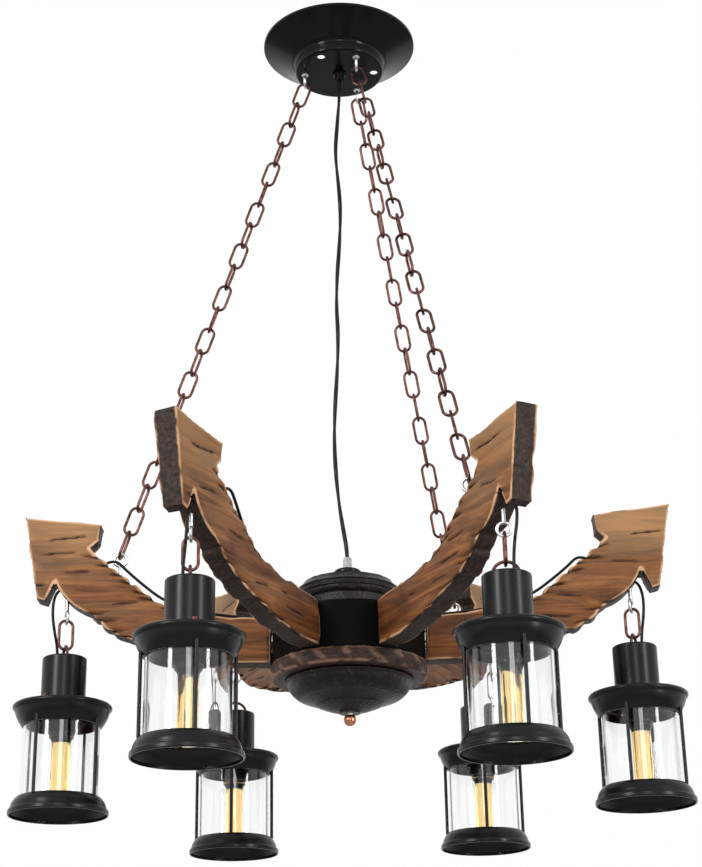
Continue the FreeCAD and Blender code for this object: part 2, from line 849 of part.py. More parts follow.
def make_wire_connectors():
    """The terminal block on the drum's floor, where the leads join the supply."""
    body = new_body("terminal_block")
    floor = sizes.plate_top + sizes.drum_wall
    sketch = new_sketch(body, "block_outline", "XY_Plane", floor)
    near = sizes.rod_radius * 5
    far = near + sizes.connector_width
    half = sizes.connector_length / 2
    outline(sketch, [(near, -half), (far, -half), (far, half), (near, half)])
    block = body.newObject("PartDesign::Pad", "block")
    block.Profile = sketch
    bind(block, "Length", sizes.connector_height)
    body.Tip = block
    middle = (near + far) / 2
    bore_down(body, "screw_wells", sizes.connector_width * 0.17,
              [(middle, half * 0.6), (middle, 0), (middle, half * -0.6)],
              floor + sizes.connector_height + 1, sizes.connector_height / 2)
    keep("wire_connectors", body, wheel)


def make_hub_fasteners():
    """The arm screws, and the two nuts on the rod."""
    solids = []
    inside = float(sizes.drum_radius - sizes.drum_wall)
    shank = float(sizes.arm_screw_radius)
    for lamp in LAMPS.values():
        for height in (sizes.arm_screw_low, sizes.arm_screw_high):
            seat = polar(inside, lamp["arm"], height)
            out = polar(1, lamp["arm"], 0)
            head = rod_between(seat - out * (1.2 * shank), seat - out * 0.15, 2 * shank)
            length = 0.7 * float(sizes.arm_screw_length)
            body = rod_between(seat - out * 1, seat + out * length, shank)
            solids.append(head.fuse(body).removeSplitter())
    bore = float(sizes.rod_radius + sizes.thread_clearance)
    height = float(sizes.nut_height)
    for base in (float(sizes.plate_top + sizes.drum_wall), float(bowl_rim) - height):
        solids.append(hex_nut(float(sizes.nut_flats), height, bore, UP * base))
    keep("hub_fasteners", loose("hub_screws_and_nuts", Part.makeCompound(solids)), wheel)


# ---------------------------------------------------------------- arms

def arm_outline():
    """The arm's outline in (out from the hub's axis, height)."""
    points = []
    for spot in ARM_SHAPE:
        place = (arm_root + arm_span * spot[0], sizes.arm_rise * spot[1])
        if len(spot) == 3:
            place += (arm_span * spot[2],)
        points.append(place)
    return points


def make_arm(name, lamp):
    """One board, sawn to an arrow head and drilled for its lead, screws and eyes."""
    body = new_body("board_" + name)
    sketch = new_sketch(body, "board_outline_" + name, "XZ_Plane")
    outline(sketch, arm_outline())
    pad = body.newObject("PartDesign::Pad", "board_pad_" + name)
    pad.Profile = sketch
    bind(pad, "Length", sizes.arm_thickness)
    pad.SideType = "Symmetric"
    body.Tip = pad
    body.Placement = turn_about_z(lamp["arm"])
    azimuth = lamp["arm"]
    upper, lower = [lead_point(lamp, LEAD_ROUTE[index]) for index in LEAD_HOLE]
    along = lower - upper
    drills = [screw_hole("arm_" + name, azimuth)]
    lead = cylinder("lead_drill_" + name, upper, along,
                    sizes.lead_radius + sizes.lead_hole_clearance, Size.of(along.Length))
    fit = sizes.eye_shank_radius + sizes.thread_clearance
    eye = cylinder("lamp_eye_drill_" + name,
                   polar(sizes.lamp_circle, azimuth, lamp_eye_height), UP, fit,
                   sizes.arm_rise * LAMP_STEM_HIGH + 1 - lamp_eye_height)
    drills.append([lead, eye])
    if lamp["chain"]:
        foot = sizes.arm_rise * CHAIN_STEM_LOW - 1
        drills.append([cylinder("chain_eye_drill_" + name,
                                polar(chain_eye_circle, azimuth, foot), UP, fit,
                                chain_eye_height - foot)])
    keep("arm_" + name, cut_away("arm_cut_" + name, body, drills), wheel)


def make_screw_eyes():
    """The screw eye under each arm, and the chain's eye on top of three of them."""
    shank = float(sizes.eye_shank_radius)
    solids = []
    for lamp in LAMPS.values():
        centre = polar(sizes.lamp_circle, lamp["arm"], lamp_eye_height)
        facing = polar(1, lamp["link"] + 90, 0)
        stem = rod_between(centre + UP * float(sizes.eye_radius),
                           polar(sizes.lamp_circle, lamp["arm"],
                                 sizes.arm_rise * LAMP_STEM_HIGH), shank)
        solids.append(eye_ring(centre, facing).fuse(stem).removeSplitter())
        if lamp["chain"]:
            centre = polar(chain_eye_circle, lamp["arm"], chain_eye_height)
            stem = rod_between(centre - UP * float(sizes.eye_radius),
                               polar(chain_eye_circle, lamp["arm"],
                                     sizes.arm_rise * CHAIN_STEM_LOW), shank)
            facing = Vector(0, 1, 0)
            solids.append(eye_ring(centre, facing).fuse(stem).removeSplitter())
    keep("arm_screw_eyes", loose("screw_eyes", Part.makeCompound(solids)), wheel)


# ---------------------------------------------------------------- lanterns

def make_link(name, lamp, place, link):
    """The one chain link between an arm's eye and the lantern's bail."""
    facing = polar(1, lamp["link"], 0)
    start = place + UP * float(link_high)
    keep("link_" + name, loose("lamp_link_" + name,
                               placed(link, frame_from(UP * -1, facing, start))))


def make_bail(name, lamp, place):
    """The half-round copper bail, peened through the cap, and the crown's thumb screw."""
    radius = float(sizes.bail_radius)
    wire = float(sizes.wire) / 2
    span = polar(radius, lamp["link"], 0)
    foot = UP * (-2.6 * float(sizes.sheet_wall))
    edges = [
        Part.LineSegment(foot - span, span * -1).toShape(),
        Part.Arc(span * -1, UP * radius, span).toShape(),
        Part.LineSegment(span, span + foot).toShape(),
    ]
    ring = Part.Wire([Part.Circle(foot - span, UP, wire).toShape()])
    bail = Part.Solid(Part.Wire(edges).makePipeShell([ring], True, False))
    spot = polar(sizes.screw_circle, lamp["screw"], crown_top)
    head = float(sizes.screw_head_radius)
    shank = float(sizes.screw_radius)
    screw = rod_between(spot - UP * (shank * 4), spot + UP * (shank * 0.8), shank)
    collar = rod_between(spot, spot + UP * (shank * 0.8), head * 0.8)
    knob = rod_between(spot + UP * (shank * 0.8), spot + UP * (shank * 3.6), head)
    solids = [bail, screw.fuse([collar, knob]).removeSplitter()]
    keep("bail_" + name, loose("bail_and_screw_" + name, Part.makeCompound(solids)),
         Placement(place, Rotation()))


def make_cap(name, lamp, place):
    """The lantern's cap, with the nipple and the lampholder that hang in it."""
    wall = sizes.sheet_wall
    edge = sizes.cap_edge
    rim = sizes.cap_radius
    cap = new_body("cap_shell_" + name)
    revolve(cap, "cap_turn_" + name, [
        (rim, -sizes.cap_height),
        (rim, -edge),
        (rim - edge, 0, edge),
        (sizes.nipple_radius + sizes.thread_clearance, 0),
        (sizes.nipple_radius + sizes.thread_clearance, -wall),
        (rim - edge, -wall),
        (rim - wall, -edge, -(edge - wall)),
        (rim - wall, -sizes.cap_height),
    ])
    fit = sizes.wire / 2 + sizes.thread_clearance
    bore_down(cap, "bail_holes_" + name, fit,
              [around(sizes.bail_radius, lamp["link"]),
               around(sizes.bail_radius, lamp["link"] + 180)], 1, wall + 2)
    bore_down(cap, "lead_hole_" + name, sizes.lead_radius + sizes.cord_clearance,
              [around(sizes.lead_offset, lead_hole_in_cap(lamp))], 1, wall + 2)
    nipple = turned("nipple_" + name, [
        (sizes.nipple_radius, sizes.holder_top),
        (sizes.nipple_radius, -wall),
        (sizes.nipple_radius, wall),
        (sizes.nipple_radius * 0.72, wall),
        (sizes.nipple_radius * 0.72, sizes.holder_top),
    ])
    socket = sizes.bulb_cap_radius + sizes.glass_clearance
    holder = turned("holder_" + name, [
        (sizes.nipple_radius * 0.8, sizes.holder_top),
        (holder_radius, sizes.holder_top),
        (holder_radius, sizes.holder_bottom),
        (socket, sizes.holder_bottom),
        (socket, sizes.holder_bottom + sizes.bulb_cap_length),
        (sizes.nipple_radius * 0.8, sizes.holder_bottom + sizes.bulb_cap_length),
    ])
    keep("cap_" + name, group("cap_group_" + name, [cap, nipple, holder]),
         Placement(place, Rotation()))


def make_cage(name, lamp, place):
    """The lantern's frame: crown dish, four rods brazed on outside it, bell-shaped base."""
    wall = sizes.sheet_wall
    rim = crown_radius
    mouth = sizes.crown_mouth_radius
    flare = sizes.crown_flare
    top = crown_top
    low = crown_low
    bead = sizes.crown_depth / 6
    outside = [
        (mouth, low),
        (rim - flare * 0.24, top - bead * 2, mouth),
        (rim - flare * 0.08, top - bead * 1.55),
        (rim, top - bead, flare * 0.3),
        (rim - flare * 0.2, top - bead * 0.32, flare * 0.3),
        (rim - flare * 0.6, top - bead * 0.26),
        (sizes.screw_circle + sizes.screw_head_radius, top),
    ]
    fit = holder_radius + sizes.glass_clearance
    crown = new_body("crown_body_" + name)
    revolve(crown, "crown_" + name, [
        (fit, top),
        (fit, top - wall),
        (sizes.screw_circle + sizes.screw_head_radius, top - wall),
        (rim - flare * 0.3, top - bead * 0.5 - wall),
        (rim - wall - flare * 0.06, top - bead),
        (rim - wall - flare * 0.2, top - bead * 1.8),
        (mouth - wall, low, -mouth),
    ] + outside)
    bore_down(crown, "screw_hole_" + name, sizes.screw_radius + sizes.thread_clearance,
              [around(sizes.screw_circle, lamp["screw"])], top + 2, sizes.crown_depth / 3)
    skirt = base_radius
    neck = sizes.base_mouth_radius
    swell = sizes.base_flare
    tall = sizes.base_height
    head = sizes.base_top
    foot = sizes.base_top - tall
    ledge = neck - swell * 0.85
    shell = [
        (skirt - swell * 0.07, foot),
        (skirt, foot + tall * 0.08, swell * 0.2),
        (skirt, foot + tall * 0.2),
        (skirt - swell * 0.19, foot + tall * 0.31, swell * 0.23),
        (skirt - swell * 0.27, head - tall * 0.57),
        (neck, head, swell * 2.05),
    ]
    base = turned("base_" + name, shell + [
        (ledge, head),
        (ledge, head - wall),
        (neck - wall, head - wall),
        (skirt - swell * 0.41, head - tall * 0.57, -(swell * 1.93)),
        (skirt - wall - swell * 0.05, foot + tall * 0.17),
        (skirt - wall - swell * 0.05, foot),
    ])
    solid_crown = turned("crown_form_" + name, [(0, top), (0, low)] + outside)
    solid_base = turned("base_form_" + name, [(0, foot)] + shell + [(0, head)])
    rods = []
    for quarter in range(4):
        spot = polar(cage_rod_circle, lamp["screw"] + 90 * quarter, sizes.base_top - 1)
        rods.append(cylinder("rod_{}_{}".format(quarter, name), spot, UP,
                             sizes.cage_rod_radius,
                             low + sizes.crown_depth * 0.26 - (sizes.base_top - 1)))
    rods = cut_away("rods_" + name, group("rod_group_" + name, rods),
                    [[solid_crown, solid_base]])
    keep("cage_" + name, group("cage_group_" + name, [crown, base, rods]),
         Placement(place, Rotation()))


def make_glass(name, place):
    """The open glass cylinder, standing on the base's ledge."""
    outer = glass_radius
    inner = outer - sizes.glass_wall
    body = turned("glass_tube_" + name, [
        (outer, sizes.base_top),
        (outer, sizes.glass_top),
        (inner, sizes.glass_top),
        (inner, sizes.base_top),
    ])
    keep("glass_" + name, body, Placement(place, Rotation()))


def make_bulb(name, place):
    """The tubular filament bulb: screw cap and glass."""
    cap = sizes.bulb_cap_radius
    top = sizes.holder_bottom + sizes.bulb_cap_length - sizes.wire_gap
    low = sizes.holder_bottom - sizes.bulb_cap_length * 0.18
    glass = sizes.bulb_radius
    screw_cap = turned("bulb_cap_" + name, [
        (0, top),
        (0, low),
        (cap, low),
        (cap, top - cap * 0.4),
        (cap * 0.45, top),
    ])
    end = sizes.bulb_end
    envelope = turned("bulb_glass_" + name, [
        (0, low),
        (0, end),
        (glass * 0.68, end + glass * 0.21, glass * 1.5),
        (glass, end + glass * 0.85, glass * 0.85),
        (glass, low - glass * 0.64),
        (cap * 0.95, low, -(glass * 1.28)),
    ])
    keep("bulb_" + name, group("bulb_group_" + name, [screw_cap, envelope]),
         Placement(place, Rotation()))


# ---------------------------------------------------------------- assembly

def build():
    make_canopy()
    make_canopy_eye_bolts()
    make_canopy_grip()
    link = stadium_link()
    make_chains(link)
    make_supply_cord()
    make_hub_dome()
    make_hub_drum()
    make_hub_plate()
    make_hub_bowl()
    make_hub_finial()
    make_hub_rod()
    make_hub_grip()
    make_hub_fasteners()
    make_wire_connectors()
    make_leads()
    make_screw_eyes()
    for name, lamp in LAMPS.items():
        make_arm(name, lamp)
        place = polar(sizes.lamp_circle, lamp["arm"], wheel_z)
        make_link(name, lamp, place, link)
        make_bail(name, lamp, place)
        make_cap(name, lamp, place)
        make_cage(name, lamp, place)
        make_glass(name, place)
        make_bulb(name, place)
    doc.recompute()


def check_and_save():
    """Stop on anything that failed to build; otherwise write one file for each node."""
    for item in doc.Objects:
        if "Invalid" in item.State or "Error" in item.State:
            raise RuntimeError("{} failed to build: {}".format(item.Label, item.State))
    os.makedirs("parts", exist_ok=True)
    for label, item in nodes.items():
        if item.Shape.isNull() or not item.Shape.isValid():
            raise RuntimeError("{} has no valid shape".format(label))
        item.Shape.exportStep(os.path.join("parts", label + ".step"))
    print("{} nodes, wheel datum at {:.2f}".format(len(nodes), wheel_z))


build()
check_and_save()
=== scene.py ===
import bpy
import bmesh
import math
import numpy as np
from mathutils import Matrix, Vector


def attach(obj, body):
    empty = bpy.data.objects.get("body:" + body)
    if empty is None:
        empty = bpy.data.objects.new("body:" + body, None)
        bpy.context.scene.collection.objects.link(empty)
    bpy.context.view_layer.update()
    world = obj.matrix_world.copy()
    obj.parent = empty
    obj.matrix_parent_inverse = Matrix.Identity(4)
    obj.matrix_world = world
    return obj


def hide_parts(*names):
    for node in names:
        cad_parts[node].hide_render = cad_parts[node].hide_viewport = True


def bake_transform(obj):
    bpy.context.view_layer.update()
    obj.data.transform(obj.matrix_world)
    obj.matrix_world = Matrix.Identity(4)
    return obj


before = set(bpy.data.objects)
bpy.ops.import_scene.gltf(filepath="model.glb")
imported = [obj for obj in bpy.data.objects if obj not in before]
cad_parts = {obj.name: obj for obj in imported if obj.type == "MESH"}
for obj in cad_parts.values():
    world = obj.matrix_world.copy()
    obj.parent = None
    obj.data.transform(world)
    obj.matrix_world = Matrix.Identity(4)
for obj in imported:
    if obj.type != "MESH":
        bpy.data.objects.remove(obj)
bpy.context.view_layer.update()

# Places are in metres from the ceiling, under the canopy's middle, unless they say otherwise.
MM = 0.001
WHEEL_Z = -0.729385         # the wheel's datum, level with the caps' tops
LAMP_R = 0.290              # how far out the lanterns hang
# Each lantern's azimuth and that of its link, in degrees.
LAMPS = {
    "right": (0.0, 70.0),
    "rear_right": (60.0, 90.0),
    "rear_left": (118.0, 0.0),
    "left": (180.0, 110.0),
    "front_left": (242.0, 95.0),
    "front_right": (300.0, 0.0),
}


# ------------------------------------------------------------------ helpers

NOISE_CELLS = 32


def lattice(seed):
    """Random numbers from -1 to 1 on a cube of points, the same each run."""
    return np.random.RandomState(seed).rand(NOISE_CELLS, NOISE_CELLS, NOISE_CELLS) * 2 - 1


def smooth_noise(points, scale, seed):
    """Smooth noise from -1 to 1 over points (n, 3), with cells of the given scale."""
    grid = lattice(seed)
    q = np.asarray(points, float) / scale
    base = np.floor(q).astype(int)
    part = q - base
    part = part * part * (3 - 2 * part)
    total = np.zeros(len(q))
    for corner in range(8):
        step = np.array([corner & 1, corner >> 1 & 1, corner >> 2 & 1])
        index = (base + step) % NOISE_CELLS
        weight = np.prod(np.where(step, part, 1 - part), axis=1)
        total += weight * grid[index[:, 0], index[:, 1], index[:, 2]]
    return total


def ramp(value, low, high):
    """0 below low, 1 above high, smooth between; low may be the larger."""
    t = np.clip((value - low) / (high - low), 0, 1)
    return t * t * (3 - 2 * t)


def new_object(mesh, body, material, replaced=()):
    """A smooth piece of the scene, on a body if one is given, for the nodes replaced."""
    item = bpy.data.objects.new(mesh.name, mesh)
    bpy.context.scene.collection.objects.link(item)
    mesh.polygons.foreach_set("use_smooth", [True] * len(mesh.polygons))
    mesh.materials.append(material)
    if body:
        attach(item, body)
    if replaced:
        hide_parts(*replaced)
    return item


def add_values(mesh, name, values):
    """Store a number, or a vector, for each point of a mesh for its material."""
    vector = values.ndim == 2
    layer = mesh.attributes.new(name, "FLOAT_VECTOR" if vector else "FLOAT", "POINT")
    layer.data.foreach_set("vector" if vector else "value",
                           values.astype(np.float32).reshape(-1))


def mesh_from(name, points, faces):
    """A checked mesh of points and faces."""
    mesh = bpy.data.meshes.new(name)
    mesh.from_pydata([tuple(p) for p in points], [], faces)
    mesh.validate()
    mesh.update()
    return mesh


def lathe(profile, turns, shift=None):
    """Points and faces of a closed outline (radius, height) turned about Z.
    shift(angle, radius, height) may move a point to another radius."""
    points = []
    faces = []
    count = len(profile)
    for turn in range(turns):
        angle = 2 * math.pi * turn / turns
        for radius, height in profile:
            if shift is not None:
                radius = shift(angle, radius, height)
            points.append((radius * math.cos(angle), radius * math.sin(angle), height))
    for turn in range(turns):
        here = turn * count
        there = (turn + 1) % turns * count
        for index in range(count):
            after = (index + 1) % count
            faces.append((here + index, there + index, there + after, here + after))
    return points, faces


def finer(profile, step):
    """The same outline with points no further apart than step."""
    dense = []
    for (r0, h0), (r1, h1) in zip(profile, profile[1:]):
        pieces = max(1, int(math.ceil(math.hypot(r1 - r0, h1 - h0) / step)))
        for number in range(pieces):
            t = number / pieces
            dense.append((r0 + (r1 - r0) * t, h0 + (h1 - h0) * t))
    dense.append(profile[-1])
    return dense


def polar(radius, azimuth, height, side=0.0):
    """The place at a radius, azimuth in degrees and height, moved sideways by side."""
    angle = math.radians(azimuth)
    return Vector((radius * math.cos(angle) - side * math.sin(angle),
                   radius * math.sin(angle) + side * math.cos(angle), height))


def lamp_centre(name):
    return polar(LAMP_R, LAMPS[name][0], WHEEL_Z)


# ------------------------------------------------------------------ materials

class Paint:
    """A material's node tree, with short calls for the nodes that it needs."""

    def __init__(self, name):
        self.material = bpy.data.materials.new(name)
        self.material.use_nodes = True
        self.tree = self.material.node_tree
        self.bsdf = self.tree.nodes["Principled BSDF"]

    def node(self, kind, **values):
        item = self.tree.nodes.new(kind)
        for key, value in values.items():
            setattr(item, key, value)
        return item

    def link(self, source, target):
        self.tree.links.new(source, target)

    def set(self, **values):
        """Plain numbers for the shader's own sockets."""
        for key, value in values.items():
            self.bsdf.inputs[key.replace("_", " ")].default_value = value

    def coords(self, stretch=(1, 1, 1), attribute=None):
        """Places on the object, or those stored as an attribute, stretched."""
        if attribute:
            source = self.node("ShaderNodeAttribute", attribute_name=attribute)
            out = source.outputs["Vector"]
        else:
            out = self.node("ShaderNodeTexCoord").outputs["Object"]
        mapping = self.node("ShaderNodeMapping")
        mapping.inputs["Scale"].default_value = stretch
        self.link(out, mapping.inputs["Vector"])
        return mapping.outputs["Vector"]

    def value(self, attribute):
        """The number stored for each point under this name."""
        return self.node("ShaderNodeAttribute", attribute_name=attribute).outputs["Fac"]

    def noise(self, vector, scale, detail=4.0, rough=0.55, distort=0.0):
        item = self.node("ShaderNodeTexNoise")
        item.inputs["Scale"].default_value = scale
        item.inputs["Detail"].default_value = detail
        item.inputs["Roughness"].default_value = rough
        item.inputs["Distortion"].default_value = distort
        self.link(vector, item.inputs["Vector"])
        return item.outputs["Fac"]

    def cells(self, vector, scale, feature="F1"):
        item = self.node("ShaderNodeTexVoronoi", feature=feature)
        item.inputs["Scale"].default_value = scale
        self.link(vector, item.inputs["Vector"])
        return item.outputs["Distance"]

    def between(self, fac, stops):
        """A colour ramp over stops of (position, colour)."""
        item = self.node("ShaderNodeValToRGB")
        band = item.color_ramp
        while len(band.elements) < len(stops):
            band.elements.new(0.5)
        for element, (position, colour) in zip(band.elements, stops):
            element.position = position
            if isinstance(colour, (int, float)):
                colour = (colour, colour, colour)
            element.color = (*colour, 1)
        self.link(fac, item.inputs["Fac"])
        return item.outputs["Color"]

    def mix(self, fac, first, second, mode="MIX"):
        item = self.node("ShaderNodeMix", data_type="RGBA", blend_type=mode)
        for value, socket in ((fac, item.inputs[0]), (first, item.inputs[6]),
                              (second, item.inputs[7])):
            if isinstance(value, bpy.types.NodeSocket):
                self.link(value, socket)
            elif isinstance(value, tuple):
                socket.default_value = (*value, 1)
            else:
                socket.default_value = value
        return item.outputs[2]

    def math(self, operation, first, second=0.0):
        item = self.node("ShaderNodeMath", operation=operation)
        for value, socket in ((first, item.inputs[0]), (second, item.inputs[1])):
            if isinstance(value, bpy.types.NodeSocket):
                self.link(value, socket)
            else:
                socket.default_value = value
        return item.outputs[0]

    def bump(self, height, strength, distance, under=None):
        item = self.node("ShaderNodeBump")
        item.inputs["Strength"].default_value = strength
        item.inputs["Distance"].default_value = distance
        self.link(height, item.inputs["Height"])
        if under is not None:
            self.link(under, item.inputs["Normal"])
        return item.outputs["Normal"]

    def finish(self, colour=None, rough=None, normal=None):
        """Link what is given to the shader, and return the material."""
        for source, name in ((colour, "Base Color"), (rough, "Roughness"),
                             (normal, "Normal")):
            if source is not None:
                self.link(source, self.bsdf.inputs[name])
        return self.material


def black_lacquer(name, tone, rough_low, rough_high, shine):
    """Sprayed black metal: faint orange peel, dust and uneven sheen."""
    paint = Paint(name)
    where = paint.coords()
    peel = paint.noise(where, 900, 2)
    cloud = paint.noise(where, 38, 5, 0.6)
    dust = paint.noise(where, 420, 6, 0.7)
    colour = paint.between(cloud, [(0.3, tuple(c * 0.7 for c in tone)), (0.75, tone)])
    specks = paint.between(dust, [(0.66, 0.0), (0.74, 1.0)])
    colour = paint.mix(paint.math("MULTIPLY", specks, 0.12), colour, (0.05, 0.05, 0.05))
    rough = paint.between(cloud, [(0.25, rough_low), (0.8, rough_high)])
    paint.set(Specular_IOR_Level=shine)
    return paint.finish(colour, rough, paint.bump(peel, 0.12, 0.0002))


def copper(name, dark, light, rough):
    """Antique copper plating, browner in the recesses and where it is rubbed dull."""
    paint = Paint(name)
    where = paint.coords()
    patches = paint.noise(where, 130, 6, 0.65)
    fine = paint.noise(where, 900, 4, 0.6)
    colour = paint.between(patches, [(0.32, dark), (0.55, light),
                                     (0.8, tuple(min(1, c * 1.35) for c in light))])
    colour = paint.mix(paint.between(fine, [(0.3, 0.0), (0.62, 0.35)]), colour, dark)
    band = paint.between(patches, [(0.3, rough + 0.18), (0.75, rough)])
    paint.set(Metallic=0.92)
    return paint.finish(colour, band, paint.bump(fine, 0.25, 0.0002))


def bright_steel(name, tone=0.72, rough=0.24):
    """Zinc-plated steel wire, faintly stained."""
    paint = Paint(name)
    where = paint.coords()
    stain = paint.noise(where, 160, 5, 0.6)
    fine = paint.noise(where, 1200, 3, 0.6)
    colour = paint.between(stain, [(0.3, tone * 0.45), (0.5, tone), (0.8, tone * 1.12)])
    paint.set(Metallic=1.0)
    band = paint.between(stain, [(0.3, rough + 0.2), (0.7, rough)])
    return paint.finish(colour, band, paint.bump(fine, 0.15, 0.0002))


def aged_bronze(name):
    """Near-black cast look with rubbed olive and gold specks."""
    paint = Paint(name)
    where = paint.coords()
    blotch = paint.noise(where, 75, 8, 0.7, 0.4)
    specks = paint.noise(where, 330, 8, 0.78, 0.6)
    pits = paint.cells(where, 300)
    colour = paint.between(blotch, [(0.3, (0.003, 0.003, 0.002)), (0.56, (0.008, 0.0075, 0.0055)),
                                    (0.8, (0.026, 0.024, 0.017))])
    rubbed = paint.between(specks, [(0.56, 0.0), (0.70, 1.0)])
    rubbed = paint.math("MULTIPLY", rubbed, paint.between(blotch, [(0.42, 0.0), (0.62, 1.0)]))
    colour = paint.mix(rubbed, colour, (0.15, 0.13, 0.085))
    height = paint.math("ADD", paint.math("MULTIPLY", specks, 0.7),
                        paint.math("MULTIPLY", pits, 0.5))
    rough = paint.between(specks, [(0.3, 0.22), (0.75, 0.5)])
    paint.set(Metallic=0.2, Specular_IOR_Level=0.25)
    return paint.finish(colour, rough, paint.bump(height, 0.6, 0.0012))


def arm_wood(name):
    """Stained pine: brown-orange faces, dark sawn edges, pale corners that are partly rubbed wear
    and partly a painted edge highlight, and splits painted near black as shade in the cracks.
    """
    paint = Paint(name)
    grain = paint.coords((9, 120, 120), "grain")
    wide = paint.coords((14, 30, 45), "grain")
    even = paint.coords((1, 1, 1), "grain")
    streak = paint.noise(grain, 1.0, 8, 0.62, 0.9)
    broad = paint.noise(wide, 1.0, 5, 0.6, 0.6)
    fine = paint.noise(paint.coords((60, 900, 900), "grain"), 1.0, 3, 0.6)
    face = paint.between(streak, [(0.30, (0.050, 0.015, 0.004)), (0.45, (0.165, 0.052, 0.012)),
                                  (0.60, (0.275, 0.100, 0.024)), (0.78, (0.43, 0.18, 0.052))])
    stain = paint.between(broad, [(0.36, (0.26, 0.22, 0.21)), (0.56, (1.0, 1.0, 1.0))])
    face = paint.mix(0.8, face, stain, "MULTIPLY")
    face = paint.mix(paint.value("pale"), face, (0.56, 0.34, 0.16))
    rough_wood = paint.noise(even, 260, 6, 0.7)
    edge = paint.between(rough_wood, [(0.30, (0.006, 0.003, 0.002)), (0.52, (0.026, 0.012, 0.007)),
                                      (0.72, (0.085, 0.044, 0.026))])
    colour = paint.mix(paint.value("side"), edge, face)
    # Pale tan along the corners: partly rubbed wear, partly a painted edge highlight.
    colour = paint.mix(paint.value("wear_and_edge_highlight"), colour, (0.68, 0.40, 0.22))
    # The splits are painted near black: painted shade in the cracks.
    colour = paint.mix(paint.value("split"), colour, (0.005, 0.002, 0.001))
    height = paint.math("ADD", paint.math("MULTIPLY", streak, 0.7),
                        paint.math("MULTIPLY", fine, 0.35))
    coarse = paint.math("MULTIPLY", rough_wood,
                        paint.math("SUBTRACT", 1.0, paint.value("side")))
    height = paint.math("ADD", height, paint.math("MULTIPLY", coarse, 2.2))
    rough = paint.between(streak, [(0.3, 0.62), (0.7, 0.42)])
    paint.set(Specular_IOR_Level=0.3)
    return paint.finish(colour, rough, paint.bump(height, 0.6, 0.0010))


def plate_wood(name):
    """The hub's carved ring: almost black brown, rubbed to copper brown on its ridges; the band
    along its rims is partly wear and partly a painted highlight.
    """
    paint = Paint(name)
    where = paint.coords()
    streak = paint.noise(paint.coords((120, 120, 420)), 1.0, 8, 0.68, 0.8)
    fine = paint.noise(where, 520, 6, 0.7)
    colour = paint.between(streak, [(0.3, (0.006, 0.003, 0.002)), (0.5, (0.028, 0.012, 0.008)),
                                    (0.74, (0.095, 0.045, 0.028))])
    # Copper brown on the lobes' crests as wear, and along the rims partly wear and partly a
    # painted highlight.
    colour = paint.mix(paint.value("wear_and_edge_highlight"), colour, (0.36, 0.19, 0.12))
    height = paint.math("ADD", streak, paint.math("MULTIPLY", fine, 0.5))
    rough = paint.between(fine, [(0.3, 0.35), (0.7, 0.6)])
    paint.set(Specular_IOR_Level=0.3)
    return paint.finish(colour, rough, paint.bump(height, 0.7, 0.0012))


def glass(name, tint, ior=1.46):
    """Clear glass with faint waviness."""
    paint = Paint(name)
    wave = paint.noise(paint.coords((1, 1, 0.15)), 60, 3)
    tone = paint.between(wave, [(0.3, tuple(c * 0.97 for c in tint)), (0.7, tint)])
    paint.set(IOR=ior, Transmission_Weight=1.0)
    rough = paint.between(wave, [(0.3, 0.0), (0.7, 0.015)])
    return paint.finish(tone, rough, paint.bump(wave, 0.05, 0.0004))


def black_flex(name):
    """Matt black cable sheath, faintly pitted."""
    paint = Paint(name)
    where = paint.coords()
    fine = paint.noise(where, 700, 4)
    colour = paint.between(fine, [(0.3, (0.002, 0.002, 0.002)), (0.7, (0.007, 0.007, 0.007))])
    rough = paint.between(fine, [(0.3, 0.28), (0.7, 0.45)])
    paint.set(Specular_IOR_Level=0.18)
    return paint.finish(colour, rough, paint.bump(fine, 0.3, 0.0003))


def clear_plastic(name, black_below=None):
    """Cloudy plastic; below a height, if one is given, the same piece is black."""
    paint = Paint(name)
    where = paint.coords()
    cloud = paint.noise(where, 240, 3)
    colour = paint.between(cloud, [(0.3, (0.50, 0.50, 0.48)), (0.7, (0.80, 0.80, 0.78))])
    paint.set(Transmission_Weight=0.5, IOR=1.45)
    if black_below is not None:
        axes = paint.node("ShaderNodeSeparateXYZ")
        paint.link(where, axes.inputs[0])
        above = paint.math("GREATER_THAN", axes.outputs["Z"], black_below)
        colour = paint.mix(above, (0.003, 0.003, 0.003), colour)
        paint.link(paint.math("MULTIPLY", above, 0.5), paint.bsdf.inputs["Transmission Weight"])
        paint.set(Specular_IOR_Level=0.2)
    return paint.finish(colour, paint.between(cloud, [(0.3, 0.2), (0.7, 0.35)]),
                        paint.bump(cloud, 0.2, 0.0004))


GRIP_FLANGE_TOP = 0.0878    # over the datum: the hub's cord grip is black up to here

LAMP_BLACK = black_lacquer("lamp_black", (0.0048, 0.0050, 0.0056), 0.24, 0.33, 0.22)
CANOPY_BLACK = black_lacquer("canopy_black", (0.0035, 0.0035, 0.0038), 0.16, 0.24, 0.16)
DRUM_BLACK = black_lacquer("drum_black", (0.002, 0.002, 0.002), 0.45, 0.6, 0.05)
COPPER = copper("antique_copper", (0.022, 0.008, 0.006), (0.17, 0.072, 0.056), 0.25)
COPPER_BRIGHT = copper("bright_copper", (0.20, 0.062, 0.03), (0.62, 0.27, 0.16), 0.16)
ZINC = bright_steel("zinc_steel")
BRONZE = aged_bronze("aged_bronze")
WOOD = arm_wood("arm_wood")
PLATE = plate_wood("plate_wood")
GLASS = glass("clear_glass", (0.985, 0.99, 0.99))
AMBER = glass("amber_glass", (0.98, 0.70, 0.28), 1.3)
FLEX = black_flex("black_flex")
CLEAR = clear_plastic("clear_plastic")
HUB_GRIP = clear_plastic("hub_grip_plastic", WHEEL_Z + GRIP_FLANGE_TOP)

